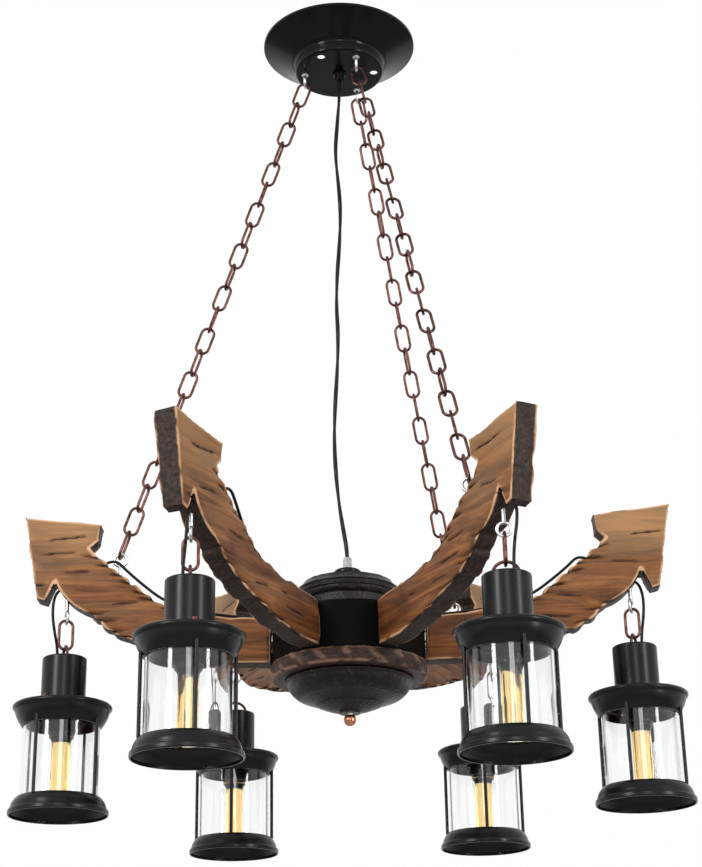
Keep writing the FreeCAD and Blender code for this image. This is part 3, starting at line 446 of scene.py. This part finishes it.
# The CAD's own solids that stay to be seen, and what each is made of.
KEPT = {
    "ceiling_canopy": CANOPY_BLACK, "canopy_eye_bolts": ZINC, "canopy_cord_grip": CANOPY_BLACK,
    "chain_left": COPPER, "chain_front": COPPER, "chain_rear": COPPER,
    "hub_cord_grip": HUB_GRIP, "hub_drum": DRUM_BLACK, "hub_finial": COPPER_BRIGHT,
    "hub_rod": ZINC, "hub_fasteners": ZINC, "wire_connectors": CLEAR, "arm_screw_eyes": ZINC,
}
for name in LAMPS:
    KEPT["link_" + name] = COPPER
    KEPT["bail_" + name] = COPPER
    KEPT["cap_" + name] = LAMP_BLACK
    KEPT["cage_" + name] = LAMP_BLACK
    KEPT["glass_" + name] = GLASS
    KEPT["bulb_" + name] = AMBER
for node, material in KEPT.items():
    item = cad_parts[node]
    item.data.materials.clear()
    item.data.materials.append(material)


# ------------------------------------------------------------------ cords

# The cords' points in part.py, in millimetres from the wheel's datum.
SUPPLY_ROUTE = [
    (0, 0, 45), (0, 0.22, 72.8), (0, 0, 108.6), (-3.3, -0.44, 129.1), (-7.7, -0.88, 159.6),
    (-10.8, -0.22, 196), (-12, 0.66, 235.8), (-10.3, 1.1, 277.5), (-7.3, 0.44, 317.9),
    (-5.9, -0.66, 357.6), (-7.5, -1.1, 391.4), (-6.2, -0.22, 429.8), (-2.9, 0.66, 469.6),
    (-1.1, 0.88, 511.3), (-3.2, 0, 547.7), (-6.5, -0.66, 585.5), (-3.3, 0, 625.2),
    (-0.33, 0.11, 661.7), (0, 0, 689.5), (0.04, 0, 707.4),
]
# Out along the arm, aside from its middle, and up.
LEAD_ROUTE = [
    (61, 0, 10.05), (62, 0, 38.55), (92, 0, 38.5), (126, 0.52, 41.3), (160, 1.04, 47),
    (190, 2, 58.5), (212, 5, 75.5), (228.8, 8.5, 90.1), (240.8, 9.6, 102.1),
    (258.4, 8.9, 92.9), (280.4, 7.3, 80.5), (299.3, 6.4, 70.5), (303.2, 6, 60.5),
    (304, 5, 47), (302, 2.6, 30),
]
LEAD_RADIUS = 0.0015
LEAD_IN_CAP_R = 0.0092      # from the cap's axis
LEAD_OVER_CAP = 0.0108
LEAD_UNDER_CAP_TOP = 0.0062
# A lead is parted over the datum here, at the height of its link and over its cap.
LEAD_PARTS_AT = (0.062, 0.029)
# The supply is a flat twin flex that turns once edge to flat in each 80 mm.
FLEX_RADIUS = 0.0023
FLEX_DENT = 0.4
FLEX_TURN = 39.0
CORD_STEP = 0.0025


def smooth_line(points):
    """A curve of one NURBS spline with the points as its control points."""
    curve = bpy.data.curves.new("route", "CURVE")
    curve.dimensions = "3D"
    spline = curve.splines.new("NURBS")
    spline.points.add(len(points) - 1)
    for spot, point in zip(spline.points, points):
        spot.co = (*point, 1)
    spline.order_u = 3
    spline.use_endpoint_u = True
    spline.resolution_u = 12
    return curve


def line_points(points):
    """The points that the smooth line through the route runs over."""
    curve = smooth_line(points)
    item = bpy.data.objects.new("route", curve)
    bpy.context.scene.collection.objects.link(item)
    bpy.context.view_layer.update()
    graph = bpy.context.evaluated_depsgraph_get()
    flat = bpy.data.meshes.new_from_object(item.evaluated_get(graph))
    spots = [v.co.copy() for v in flat.vertices]
    bpy.data.objects.remove(item)
    bpy.data.curves.remove(curve)
    bpy.data.meshes.remove(flat)
    return spots


def tube_mesh(name, spots, radius, sides=14, dent=0.0, turn=0.0):
    """A tube along the spots; dent and turn give a twin flex its laid cores."""
    points = []
    faces = []
    side = Vector((1, 0, 0))
    run = 0.0
    for index, spot in enumerate(spots):
        ahead = spots[min(index + 1, len(spots) - 1)] - spots[max(index - 1, 0)]
        ahead.normalize()
        side = (side - ahead * side.dot(ahead)).normalized()
        up = ahead.cross(side)
        if index:
            run += (spot - spots[index - 1]).length
        for number in range(sides):
            angle = 2 * math.pi * number / sides
            reach = radius * (1 - dent * (1 - abs(math.cos(angle - turn * run))))
            points.append(spot + side * (reach * math.cos(angle)) + up * (reach * math.sin(angle)))
    for index in range(len(spots) - 1):
        for number in range(sides):
            after = (number + 1) % sides
            a, b = index * sides, (index + 1) * sides
            faces.append((a + number, a + after, b + after, b + number))
    faces.append(tuple(range(sides))[::-1])
    faces.append(tuple(len(points) - sides + number for number in range(sides)))
    return mesh_from(name, points, faces)


def path_length(spots):
    """The length along the spots."""
    return sum((b - a).length for a, b in zip(spots, spots[1:]))


def resample(spots, step):
    """Points at even steps along the line through spots."""
    total = path_length(spots)
    count = max(2, int(round(total / step)) + 1)
    even = []
    index = 0
    gone = 0.0
    for number in range(count):
        want = total * number / (count - 1)
        while index < len(spots) - 2 and gone + (spots[index + 1] - spots[index]).length < want:
            gone += (spots[index + 1] - spots[index]).length
            index += 1
        leg = (spots[index + 1] - spots[index]).length
        t = 0.0 if leg == 0 else min(1.0, (want - gone) / leg)
        even.append(spots[index].lerp(spots[index + 1], t))
    return even


def make_supply_cord():
    """The supply flex, from the canopy's grip to the hub's tube."""
    route = [Vector((x * MM, y * MM, WHEEL_Z + h * MM)) for x, y, h in SUPPLY_ROUTE]
    spots = resample(line_points(route), CORD_STEP)
    mesh = tube_mesh("supply_flex", spots, FLEX_RADIUS, 16, FLEX_DENT, FLEX_TURN)
    item = new_object(mesh, None, FLEX)
    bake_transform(item)
    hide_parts("supply_cord")


def lead_hole_in_cap(azimuth, link):
    """Azimuth of the lead's hole in a cap: on its outer side, clear of bail and link."""
    turns = [link + 45 + 90 * quarter for quarter in range(4)]
    return min(turns, key=lambda turn: abs((turn - azimuth + 180) % 360 - 180))


def make_leads():
    """One lead for each lantern, in three lengths: over the arm, beside the link, into the cap."""
    for name, (azimuth, link) in LAMPS.items():
        route = [polar(out * MM, azimuth, WHEEL_Z + height * MM, side * MM)
                 for out, side, height in LEAD_ROUTE]
        cap = lamp_centre(name)
        cap = cap + polar(LEAD_IN_CAP_R, lead_hole_in_cap(azimuth, link), 0)
        route += [cap + Vector((0, 0, LEAD_OVER_CAP)), cap - Vector((0, 0, LEAD_UNDER_CAP_TOP))]
        spots = resample(line_points(route), CORD_STEP)
        drop, half = [max(index for index, spot in enumerate(spots) if spot.z - WHEEL_Z > level)
                      for level in LEAD_PARTS_AT]
        parts = (("over_arm", spots[:drop + 1]), ("to_link", spots[drop:half + 1]),
                 ("into_cap", spots[half:]))
        for label, run in parts:
            mesh = tube_mesh("lead_{}_{}".format(label, name), run, LEAD_RADIUS, 12)
            item = new_object(mesh, None, FLEX)
            if label == "over_arm":
                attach(item, "wheel")
            elif label == "to_link":
                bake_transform(item)
            else:
                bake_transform(item)
            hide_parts("lamp_leads")


make_supply_cord()
make_leads()


# ------------------------------------------------------------------ arms

# The arm's outline in millimetres, as (out from the hub's axis, over the datum) and, where an
# arc ends, its radius, which is positive for a turn to the left.
ARM_POINTS = [
    (78.4, -12.4), (120, -12), (160, -6), (217, 12), (262, 41, 90),
    (277, 49.5), (302, 80, 60), (311, 58), (321, 61), (337, 150), (256, 140), (258, 122),
    (268, 114), (195, 56), (160, 44, -90), (120, 37), (78.4, 33, 120),
]


HALF_BOARD = 12.9           # half the board's thickness
OUTLINE_STEP = 1.5
BOARD_VOXEL = 1.25


def arc_between(start, end, radius, step=OUTLINE_STEP):
    """Points after start up to end on the arc; a positive radius turns anticlockwise."""
    sx, sy = start
    ex, ey = end
    half_x, half_y = (ex - sx) / 2, (ey - sy) / 2
    reach = math.hypot(half_x, half_y)
    rise = math.sqrt(max(radius * radius - reach * reach, 0)) * (1 if radius > 0 else -1)
    cx = sx + half_x - half_y / reach * rise
    cy = sy + half_y + half_x / reach * rise
    first = math.atan2(sy - cy, sx - cx)
    last = math.atan2(ey - cy, ex - cx)
    if radius > 0 and last < first:
        last += 2 * math.pi
    if radius < 0 and last > first:
        last -= 2 * math.pi
    count = max(2, int(abs(last - first) * abs(radius) / step))
    return [(cx + abs(radius) * math.cos(first + (last - first) * n / count),
             cy + abs(radius) * math.sin(first + (last - first) * n / count))
            for n in range(1, count + 1)]


def arm_outline():
    """The arm's outline as dense points in millimetres, anticlockwise."""
    dense = []
    for index, point in enumerate(ARM_POINTS):
        start = ARM_POINTS[index - 1][:2]
        if len(point) == 3:
            dense += arc_between(start, point[:2], point[2])
            continue
        length = math.hypot(point[0] - start[0], point[1] - start[1])
        count = max(1, int(length / OUTLINE_STEP))
        dense += [(start[0] + (point[0] - start[0]) * n / count,
                   start[1] + (point[1] - start[1]) * n / count) for n in range(1, count + 1)]
    return dense


def blank_arm():
    """The sawn board as an even mesh in millimetres, x out, y across, z up, and its outline."""
    dense = arm_outline()
    form = bmesh.new()
    low = [form.verts.new((x, -HALF_BOARD, z)) for x, z in dense]
    high = [form.verts.new((x, HALF_BOARD, z)) for x, z in dense]
    form.faces.new(low)
    form.faces.new(high[::-1])
    for index in range(len(dense)):
        after = (index + 1) % len(dense)
        form.faces.new((low[after], low[index], high[index], high[after]))
    bmesh.ops.triangulate(form, faces=form.faces[:])
    bmesh.ops.recalc_face_normals(form, faces=form.faces[:])
    mesh = bpy.data.meshes.new("board")
    form.to_mesh(mesh)
    form.free()
    item = bpy.data.objects.new("board", mesh)
    bpy.context.scene.collection.objects.link(item)
    remesh = item.modifiers.new("even", "REMESH")
    remesh.mode = "VOXEL"
    remesh.voxel_size = BOARD_VOXEL
    bpy.context.view_layer.update()
    graph = bpy.context.evaluated_depsgraph_get()
    made = bpy.data.meshes.new_from_object(item.evaluated_get(graph))
    bpy.data.objects.remove(item)
    return made, np.array(dense)


def outline_distance(spots, dense):
    """For each (x, z): the distance to the outline, and the outward direction there."""
    best = np.full(len(spots), 1e9)
    out = np.zeros((len(spots), 2))
    following = np.roll(dense, -1, axis=0)
    for start, end in zip(dense, following):
        run = end - start
        length = np.dot(run, run)
        if length == 0:
            continue
        t = np.clip(((spots - start) @ run) / length, 0, 1)
        gap = spots - (start + t[:, None] * run)
        distance = np.hypot(gap[:, 0], gap[:, 1])
        near = distance < best
        best[near] = distance[near]
        normal = np.array([run[1], -run[0]]) / math.sqrt(length)
        out[near] = normal
    return best, out


def edge_crossing(dense, height, low_r, high_r, upper):
    """Where the upper or lower edge of the arm crosses a height between two radii."""
    for start, end in zip(dense, np.roll(dense, -1, axis=0)):
        goes_out = end[0] > start[0]
        if goes_out == upper or not low_r <= start[0] <= high_r:
            continue
        if (start[1] - height) * (end[1] - height) <= 0 and start[1] != end[1]:
            t = (height - start[1]) / (end[1] - start[1])
            return start[0] + (end[0] - start[0]) * t
    return None


# Splits that start at the upper and lower edges, as (height, length, depth), and splits in the
# face, as (from, to, height). Every arm is carved to this pattern with its own differences.
TOP_SPLITS = [(106, 26, 2.4), (96, 34, 2.8), (86, 24, 2.4), (76, 30, 2.9), (66, 26, 2.4),
              (57, 34, 2.6), (49, 30, 2.2), (42, 34, 2.0)]
LOW_SPLITS = [(-8, 34, 2.2), (-2, 36, 2.4), (5, 30, 2.2),
              (15, 34, 2.6), (25, 28, 2.2), (35, 32, 2.4), (45, 24, 2.0)]
FACE_SPLITS = [(112, 160, 8), (140, 188, -4), (128, 150, 22), (196, 238, 34), (212, 250, 52),
               (262, 300, 88), (286, 330, 112), (268, 318, 128), (300, 326, 74), (180, 214, 20)]


def point_values(mesh, name):
    """A vector of each point of a mesh, as rows."""
    values = np.zeros(len(mesh.vertices) * 3)
    mesh.vertices.foreach_get(name, values)
    return values.reshape(-1, 3)


class Carving:
    """What is cut into one board: depth into its faces, bites into its edges, and splits."""

    def __init__(self, mesh, dense, seed):
        self.dice = np.random.RandomState(seed)
        self.seed = seed
        self.dense = dense
        self.spots = point_values(mesh, "co")
        self.normals = point_values(mesh, "normal")
        self.gap, self.out = outline_distance(self.spots[:, [0, 2]], dense)
        count = len(self.spots)
        self.depth = np.zeros(count)
        self.bite = np.zeros(count)
        self.split = np.zeros(count)
        self.hand = np.where(self.spots[:, 1] > 0, 1.0, -1.0)
        for side in (-1.0, 1.0):
            here = (self.hand == side) * 1.0
            for upper, table in ((True, TOP_SPLITS), (False, LOW_SPLITS)):
                for height, length, deep in table:
                    self.cut_from_edge(here, upper, height, length, deep)
            for low, high, height in FACE_SPLITS:
                self.cut_in_face(here, low, high, height)

    def noise(self, scale, turn, stretch=(1, 1, 1)):
        return smooth_noise(self.spots * np.array(stretch), scale, self.seed + turn)

    def cut_from_edge(self, here, upper, height, length, deep):
        """A split that starts at an edge, with the wood scooped away beside it."""
        dice = self.dice
        height = height + dice.uniform(-3.0, 3.0)
        length = length * dice.uniform(0.6, 1.15)
        deep = deep * dice.uniform(0.7, 1.2)
        start = edge_crossing(self.dense, height, 92, 270, upper)
        if start is None:
            return
        tilt = dice.uniform(-0.12, 0.12)
        inside = (self.spots[:, 0] - start) * (1 if upper else -1)
        level = self.spots[:, 2] - height - tilt * inside - 0.8 * self.noise(9.0, 3)
        fade = ramp(inside, length, length * 0.15) * (inside > -6)
        groove = np.exp(-(level / 1.25) ** 2) * fade
        lobe = 11.0 * dice.uniform(0.7, 1.3)
        away = -level if upper else level
        scoop = np.clip(1 - away / lobe, 0, 1) ** 1.6 * (away > -0.4)
        scoop = scoop * ramp(inside, length * 0.75, 0.0) * (inside > -8)
        self.depth += here * (groove * deep * 1.3 + scoop * deep * 1.0)
        self.bite += np.exp(-(level / 2.2) ** 2) * ramp(self.gap, 7.0, 0.0) * fade * deep * 0.6
        self.split = np.maximum(self.split, here * groove)

    def cut_in_face(self, here, low, high, height):
        """A split in the face, left out on some arms."""
        dice = self.dice
        if dice.rand() < 0.28:
            return
        shift = dice.uniform(-9, 9)
        height = height + dice.uniform(-4, 4)
        tilt = dice.uniform(-0.10, 0.10)
        reach = self.spots[:, 0]
        level = self.spots[:, 2] - height - tilt * (reach - low) - 1.0 * self.noise(12.0, 5)
        fade = (ramp(reach, low + shift, low + shift + 10)
                * ramp(reach, high + shift, high + shift - 14))
        groove = np.exp(-(level / 1.05) ** 2) * fade
        self.depth += here * groove * dice.uniform(1.0, 2.0)
        self.split = np.maximum(self.split, here * groove * 0.95)


def carve(mesh, dense, seed):
    """Cut the splits, scoops and worn corners into a board; returns its attributes, among them the
    splits' painted shade and a pale corner band of wear and painted edge highlight.
    """
    cuts = Carving(mesh, dense, seed)
    spots, gap, out, hand = cuts.spots, cuts.gap, cuts.out, cuts.hand
    across, height = np.abs(spots[:, 1]), spots[:, 2]
    on_face = ramp(across, 10.5, 12.6)
    hewn = cuts.noise(14.0, 7, (0.55, 1, 1))
    ripple = cuts.noise(5.0, 9, (0.35, 1, 1))
    end_face = ramp(out[:, 0], 0.8, 0.97) * (spots[:, 0] > 300) * (gap < 2.5) * (1 - on_face)
    knobs = cuts.noise(3.2, 11) + 0.6 * cuts.noise(7.0, 13)
    corner = np.exp(-((gap / 2.6) ** 2)) * np.exp(-(((HALF_BOARD - across) / 2.6) ** 2))
    round_off = corner * (1.0 + 0.9 * hewn)
    total = cuts.depth * on_face + 0.55 * (hewn + 1) + 0.22 * (ripple + 1) * on_face
    moved = spots.copy()
    moved[:, 1] -= hand * total * on_face
    moved[:, 1] -= hand * round_off * 0.9
    inwards = cuts.bite * 1.0 + round_off * 0.9 + 0.5 * (hewn + 1) * (1 - on_face) * (gap < 3)
    inwards = inwards + end_face * 0.9 * (knobs + 1.2)
    moved[:, 0] -= out[:, 0] * inwards * (gap < 9)
    moved[:, 2] -= out[:, 1] * inwards * (gap < 9)
    mesh.vertices.foreach_set("co", moved.reshape(-1))
    # A pale band along the board's corners, broken by noise: partly rubbed wear, partly a painted
    # edge highlight; none in the splits.
    wear_and_edge_highlight = ramp(corner, 0.28, 0.8) * ramp(cuts.noise(9.0, 15), -0.75, 0.15)
    pale = ramp(height, 55, 150) * 0.42 + 0.18 * cuts.noise(22.0, 17, (0.4, 1, 1))
    return {
        "grain": spots * MM,
        "side": ramp(np.abs(cuts.normals[:, 1]), 0.35, 0.8),
        "wear_and_edge_highlight": np.clip(wear_and_edge_highlight * (1 - cuts.split), 0, 1),
        # Where the splits run, for the painted shade in them.
        "split": ramp(cuts.split, 0.22, 0.62) * ramp(across, 6.0, 10.0),
        "pale": np.clip(pale, 0, 1),
    }


def make_arms():
    """Six boards from one outline, each carved a little differently."""
    board, dense = blank_arm()
    for number, (name, (azimuth, _)) in enumerate(LAMPS.items()):
        mesh = board.copy()
        mesh.name = "carved_arm_" + name
        facts = carve(mesh, dense, 100 + 37 * number)
        facts["grain"] = facts["grain"] + number * 0.613
        for label, values in facts.items():
            add_values(mesh, label, values)
        turn = Matrix.Translation((0, 0, WHEEL_Z)) @ Matrix.Rotation(
            math.radians(azimuth), 4, "Z") @ Matrix.Scale(MM, 4)
        mesh.transform(turn)
        new_object(mesh, "wheel", WOOD, ["arm_" + name])


make_arms()


# ------------------------------------------------------------------ hub

def displaced(points, amount, scale, seed):
    """The points moved in and out from the hub's axis by smooth noise."""
    points = np.array(points)
    out = points[:, :2] / np.maximum(np.hypot(points[:, 0], points[:, 1]), 1e-6)[:, None]
    push = amount * smooth_noise(points, scale, seed)
    points[:, :2] += out * push[:, None]
    points[:, 2] += 0.5 * push
    return points


def curve_to(start, end, bulge, count=12):
    """Points after start up to end on a curve that bulges to its left by a share of its length."""
    (r0, h0), (r1, h1) = start, end
    mid_r = (r0 + r1) / 2 - (h1 - h0) * bulge
    mid_h = (h0 + h1) / 2 + (r1 - r0) * bulge
    line = []
    for number in range(1, count + 1):
        t = number / count
        line.append(((1 - t) ** 2 * r0 + 2 * t * (1 - t) * mid_r + t * t * r1,
                     (1 - t) ** 2 * h0 + 2 * t * (1 - t) * mid_h + t * t * h1))
    return line


def bead(radius, height, size, first, last, count=6):
    """A round bead on an outline, from one angle to another in degrees."""
    return [(radius + size * math.cos(math.radians(first + (last - first) * n / count)),
             height + size * math.sin(math.radians(first + (last - first) * n / count)))
            for n in range(count + 1)]


# The hub's sizes in part.py, from the wheel's datum.
DRUM_TOP = 0.0340
DOME_TOP = 0.0810
DOME_NECK_R = 0.0485
DOME_INNER_R = 0.0461
GRIP_FLANGE_R = 0.0145
BOWL_R = 0.0640
BOWL_RIM = -0.0290
BOWL_END = -0.0630
CONE_R = 0.0109
BORE_R = 0.0041
PLATE_TOP = -0.0130
PLATE_MIDDLE = -0.021
HALF_PLATE = 0.008
SEAM = 0.0001               # what the scene's own forms stay clear of their neighbours
SHEET = 0.0013


def turned(name, outline, step, turns, push, shift=None):
    """A rough cast or carved form turned about the hub's axis; push is (amount, scale, seed)."""
    points, faces = lathe(finer(outline, step), turns, shift)
    points = displaced(points, *push)
    points[:, 2] += WHEEL_Z
    return mesh_from(name, points, faces)


def make_hub_dome():
    """The cover on the drum: a plain neck, a rolled lip, a band and a low dome."""
    foot = DRUM_TOP + SEAM
    top = DOME_TOP - SEAM
    outer = [(DOME_NECK_R, foot), (DOME_NECK_R, 0.051)]
    outer += curve_to(outer[-1], (0.0522, 0.0583), -0.18)
    outer += bead(0.0522, 0.0592, 0.0012, -60, 60) + [(0.0519, 0.0612), (0.0519, 0.0632)]
    outer += bead(0.0520, 0.0645, 0.0010, -60, 80)
    outer += curve_to(outer[-1], (DOME_INNER_R, 0.0722), 0.16)
    outer += curve_to(outer[-1], (GRIP_FLANGE_R, top), 0.10, 20)
    outer += [(BORE_R, top), (BORE_R, top - SHEET), (GRIP_FLANGE_R, top - SHEET),
              (0.045, 0.0706), (0.0505, 0.0640), (0.0505, 0.0595),
              (DOME_NECK_R - SHEET, 0.052), (DOME_NECK_R - SHEET, foot)]
    mesh = turned("hub_cover", outer, 0.0012, 128, (0.00030, 0.0045, 311))
    new_object(mesh, "wheel", BRONZE, ["hub_top_dome"])


def flute(angle, radius, height):
    """The bowl's cone is fluted."""
    if CONE_R + 0.0006 < radius < 0.0325 and height < -0.0530:
        return radius - 0.0007 * abs(math.sin(12 * angle))
    return radius


def make_hub_bowl():
    """The cast bowl: a beaded rim, a full side and a fluted cone down to the ball nut."""
    rim = BOWL_RIM - 2 * SEAM
    outer = [(0.0625, rim), (BOWL_R, rim)] + bead(0.0636, -0.0313, 0.0015, 70, -70)
    outer += [(0.0630, -0.0332)]
    outer += curve_to(outer[-1], (0.0499, -0.0480), 0.24)
    outer += curve_to(outer[-1], (0.0340, -0.0536), -0.02)
    outer += [(0.0328, -0.0548)]
    outer += curve_to(outer[-1], (CONE_R, -0.0618), 0.05)
    outer += [(CONE_R, BOWL_END), (BORE_R, BOWL_END), (BORE_R, -0.0606), (0.0105, -0.0606),
              (0.0320, -0.0528), (0.0480, -0.0462), (0.0615, -0.0330)]
    mesh = turned("hub_basin", outer, 0.0010, 168, (0.00035, 0.0040, 317), flute)
    new_object(mesh, "wheel", BRONZE, ["hub_bowl"])


def gouge(angle, radius, height):
    """The carved ring's edge has lobes, and finer gouge marks across them."""
    if radius < 0.070:
        return radius
    level = (height - PLATE_MIDDLE) / HALF_PLATE
    lobe = abs(math.sin(9 * angle + 0.9 * level))
    radius -= 0.0016 * (1 - lobe) * (1 - 0.5 * level * level)
    return radius - 0.0006 * abs(math.sin(41 * angle + 2.3 * level))


def make_hub_plate():
    """The carved ring under the drum and the arms' ends, with gouged lobes on its edge."""
    outline = [(BORE_R, BOWL_RIM), (0.0760, BOWL_RIM)]
    outline += curve_to(outline[-1], (0.0812, -0.0235), -0.30)
    outline += curve_to(outline[-1], (0.0806, -0.0160), -0.10)
    outline += curve_to(outline[-1], (0.0770, PLATE_TOP), -0.20)
    outline += [(BORE_R, PLATE_TOP)]
    mesh = turned("hub_carved_ring", outline, 0.0012, 288, (0.00045, 0.0050, 331), gouge)
    points = point_values(mesh, "co") - np.array((0, 0, WHEEL_Z))
    reach = np.hypot(points[:, 0], points[:, 1])
    angle = np.arctan2(points[:, 1], points[:, 0])
    level = (points[:, 2] - PLATE_MIDDLE) / HALF_PLATE
    crest = ramp(np.abs(np.sin(9 * angle + 0.9 * level)), 0.80, 0.99)
    # A band along the ring's upper and lower rims: partly wear, partly a painted highlight.
    rim = np.exp(-((np.abs(level) - 0.86) / 0.16) ** 2) * ramp(reach, 0.073, 0.078)
    wear_and_edge_highlight = 0.55 * crest * ramp(reach, 0.078, 0.081) + 0.8 * rim
    wear_and_edge_highlight = wear_and_edge_highlight * ramp(smooth_noise(points, 0.006, 337), -0.5, 0.35)
    add_values(mesh, "wear_and_edge_highlight", np.clip(wear_and_edge_highlight, 0, 1))
    new_object(mesh, "wheel", PLATE, ["hub_plate"])


make_hub_dome()
make_hub_bowl()
make_hub_plate()


# ------------------------------------------------------------------ camera, light, stage

# The camera that was fitted to the photograph: its place, its turn, and its lens in pixels.
PHOTO_WIDTH = 702
FOCAL_PIXELS = 1809.7
SHIFT_PIXELS = (5.9, -10.5)
SENSOR = 36.0
CAMERA_AZIMUTH = 0.883
CAMERA_PITCH = 22.35
CAMERA_ROLL = 0.95
CAMERA_REACH = 1.7935
CAMERA_HEIGHT = -1.2138


def make_camera():
    """The camera at the photograph's place."""
    azimuth, pitch, roll = (math.radians(turn)
                            for turn in (CAMERA_AZIMUTH, CAMERA_PITCH, CAMERA_ROLL))
    place = Vector((math.sin(azimuth) * CAMERA_REACH, -math.cos(azimuth) * CAMERA_REACH,
                    CAMERA_HEIGHT))
    ahead = Vector((-math.sin(azimuth) * math.cos(pitch), math.cos(azimuth) * math.cos(pitch),
                    math.sin(pitch)))
    right = Vector((math.cos(azimuth), math.sin(azimuth), 0))
    up = right.cross(ahead)
    right, up = (right * math.cos(roll) - up * math.sin(roll),
                 right * math.sin(roll) + up * math.cos(roll))
    data = bpy.data.cameras.new("view")
    data.sensor_fit = "HORIZONTAL"
    data.sensor_width = SENSOR
    data.lens = FOCAL_PIXELS / PHOTO_WIDTH * SENSOR
    data.shift_x, data.shift_y = (shift / PHOTO_WIDTH for shift in SHIFT_PIXELS)
    data.clip_end = 50
    item = bpy.data.objects.new("view", data)
    back = ahead * -1
    item.matrix_world = Matrix(((right.x, up.x, back.x, place.x),
                                (right.y, up.y, back.y, place.y),
                                (right.z, up.z, back.z, place.z), (0, 0, 0, 1)))
    bpy.context.scene.collection.objects.link(item)
    bpy.context.scene.camera = item


# Name, place, aim, width, height and power of each soft lamp.
LAMPS_OF_STUDIO = [
    ("key", (-1.5, -1.7, 0.0), (0, 0, -0.65), 0.40, 1.6, 34),
    ("fill", (1.7, -1.4, -0.5), (0, 0, -0.65), 0.32, 1.6, 22),
    ("front", (0.1, -2.4, -0.2), (0, 0, -0.7), 0.5, 1.0, 8),
]
WORLD_LIGHT = 0.35          # on the object; the camera, metal and glass see a white of 1
FLOOR_Z = -2.3
FLOOR_SIZE = 4.0


def area_light(name, place, aim, width, height, power):
    """A soft rectangular lamp turned to its aim."""
    data = bpy.data.lights.new(name, "AREA")
    data.shape = "RECTANGLE"
    data.size = width
    data.size_y = height
    data.energy = power
    item = bpy.data.objects.new(name, data)
    item.location = place
    item.rotation_euler = (Vector(aim) - Vector(place)).to_track_quat("-Z", "Y").to_euler()
    bpy.context.scene.collection.objects.link(item)


def make_world():
    """A white studio that lights the object at a lower level than it shows."""
    world = bpy.data.worlds.new("studio")
    bpy.context.scene.world = world
    world.use_nodes = True
    tree = world.node_tree
    background = tree.nodes["Background"]
    light_path = tree.nodes.new("ShaderNodeLightPath")
    seen = light_path.outputs["Is Camera Ray"]
    for ray in ("Is Transmission Ray", "Is Glossy Ray"):
        either = tree.nodes.new("ShaderNodeMath")
        either.operation = "MAXIMUM"
        tree.links.new(seen, either.inputs[0])
        tree.links.new(light_path.outputs[ray], either.inputs[1])
        seen = either.outputs[0]
    strength = tree.nodes.new("ShaderNodeMapRange")
    strength.inputs["To Min"].default_value = WORLD_LIGHT
    strength.inputs["To Max"].default_value = 1.0
    tree.links.new(seen, strength.inputs["Value"])
    background.inputs["Color"].default_value = (1, 1, 1, 1)
    tree.links.new(strength.outputs["Result"], background.inputs["Strength"])


def make_floor():
    """A plain pale floor, well under the lanterns."""
    form = bmesh.new()
    bmesh.ops.create_grid(form, x_segments=1, y_segments=1, size=FLOOR_SIZE)
    mesh = bpy.data.meshes.new("floor")
    form.to_mesh(mesh)
    form.free()
    floor = bpy.data.objects.new("floor", mesh)
    floor.location = (0, 0, FLOOR_Z)
    bpy.context.scene.collection.objects.link(floor)
    paint = Paint("floor_paint")
    cloud = paint.noise(paint.coords(), 3, 3)
    paint.finish(paint.between(cloud, [(0.3, 0.80), (0.7, 0.84)]))
    paint.set(Roughness=0.9)
    mesh.materials.append(paint.material)


make_camera()
make_world()
make_floor()
for lamp in LAMPS_OF_STUDIO:
    area_light(*lamp)
bpy.context.scene.view_settings.view_transform = "Standard"
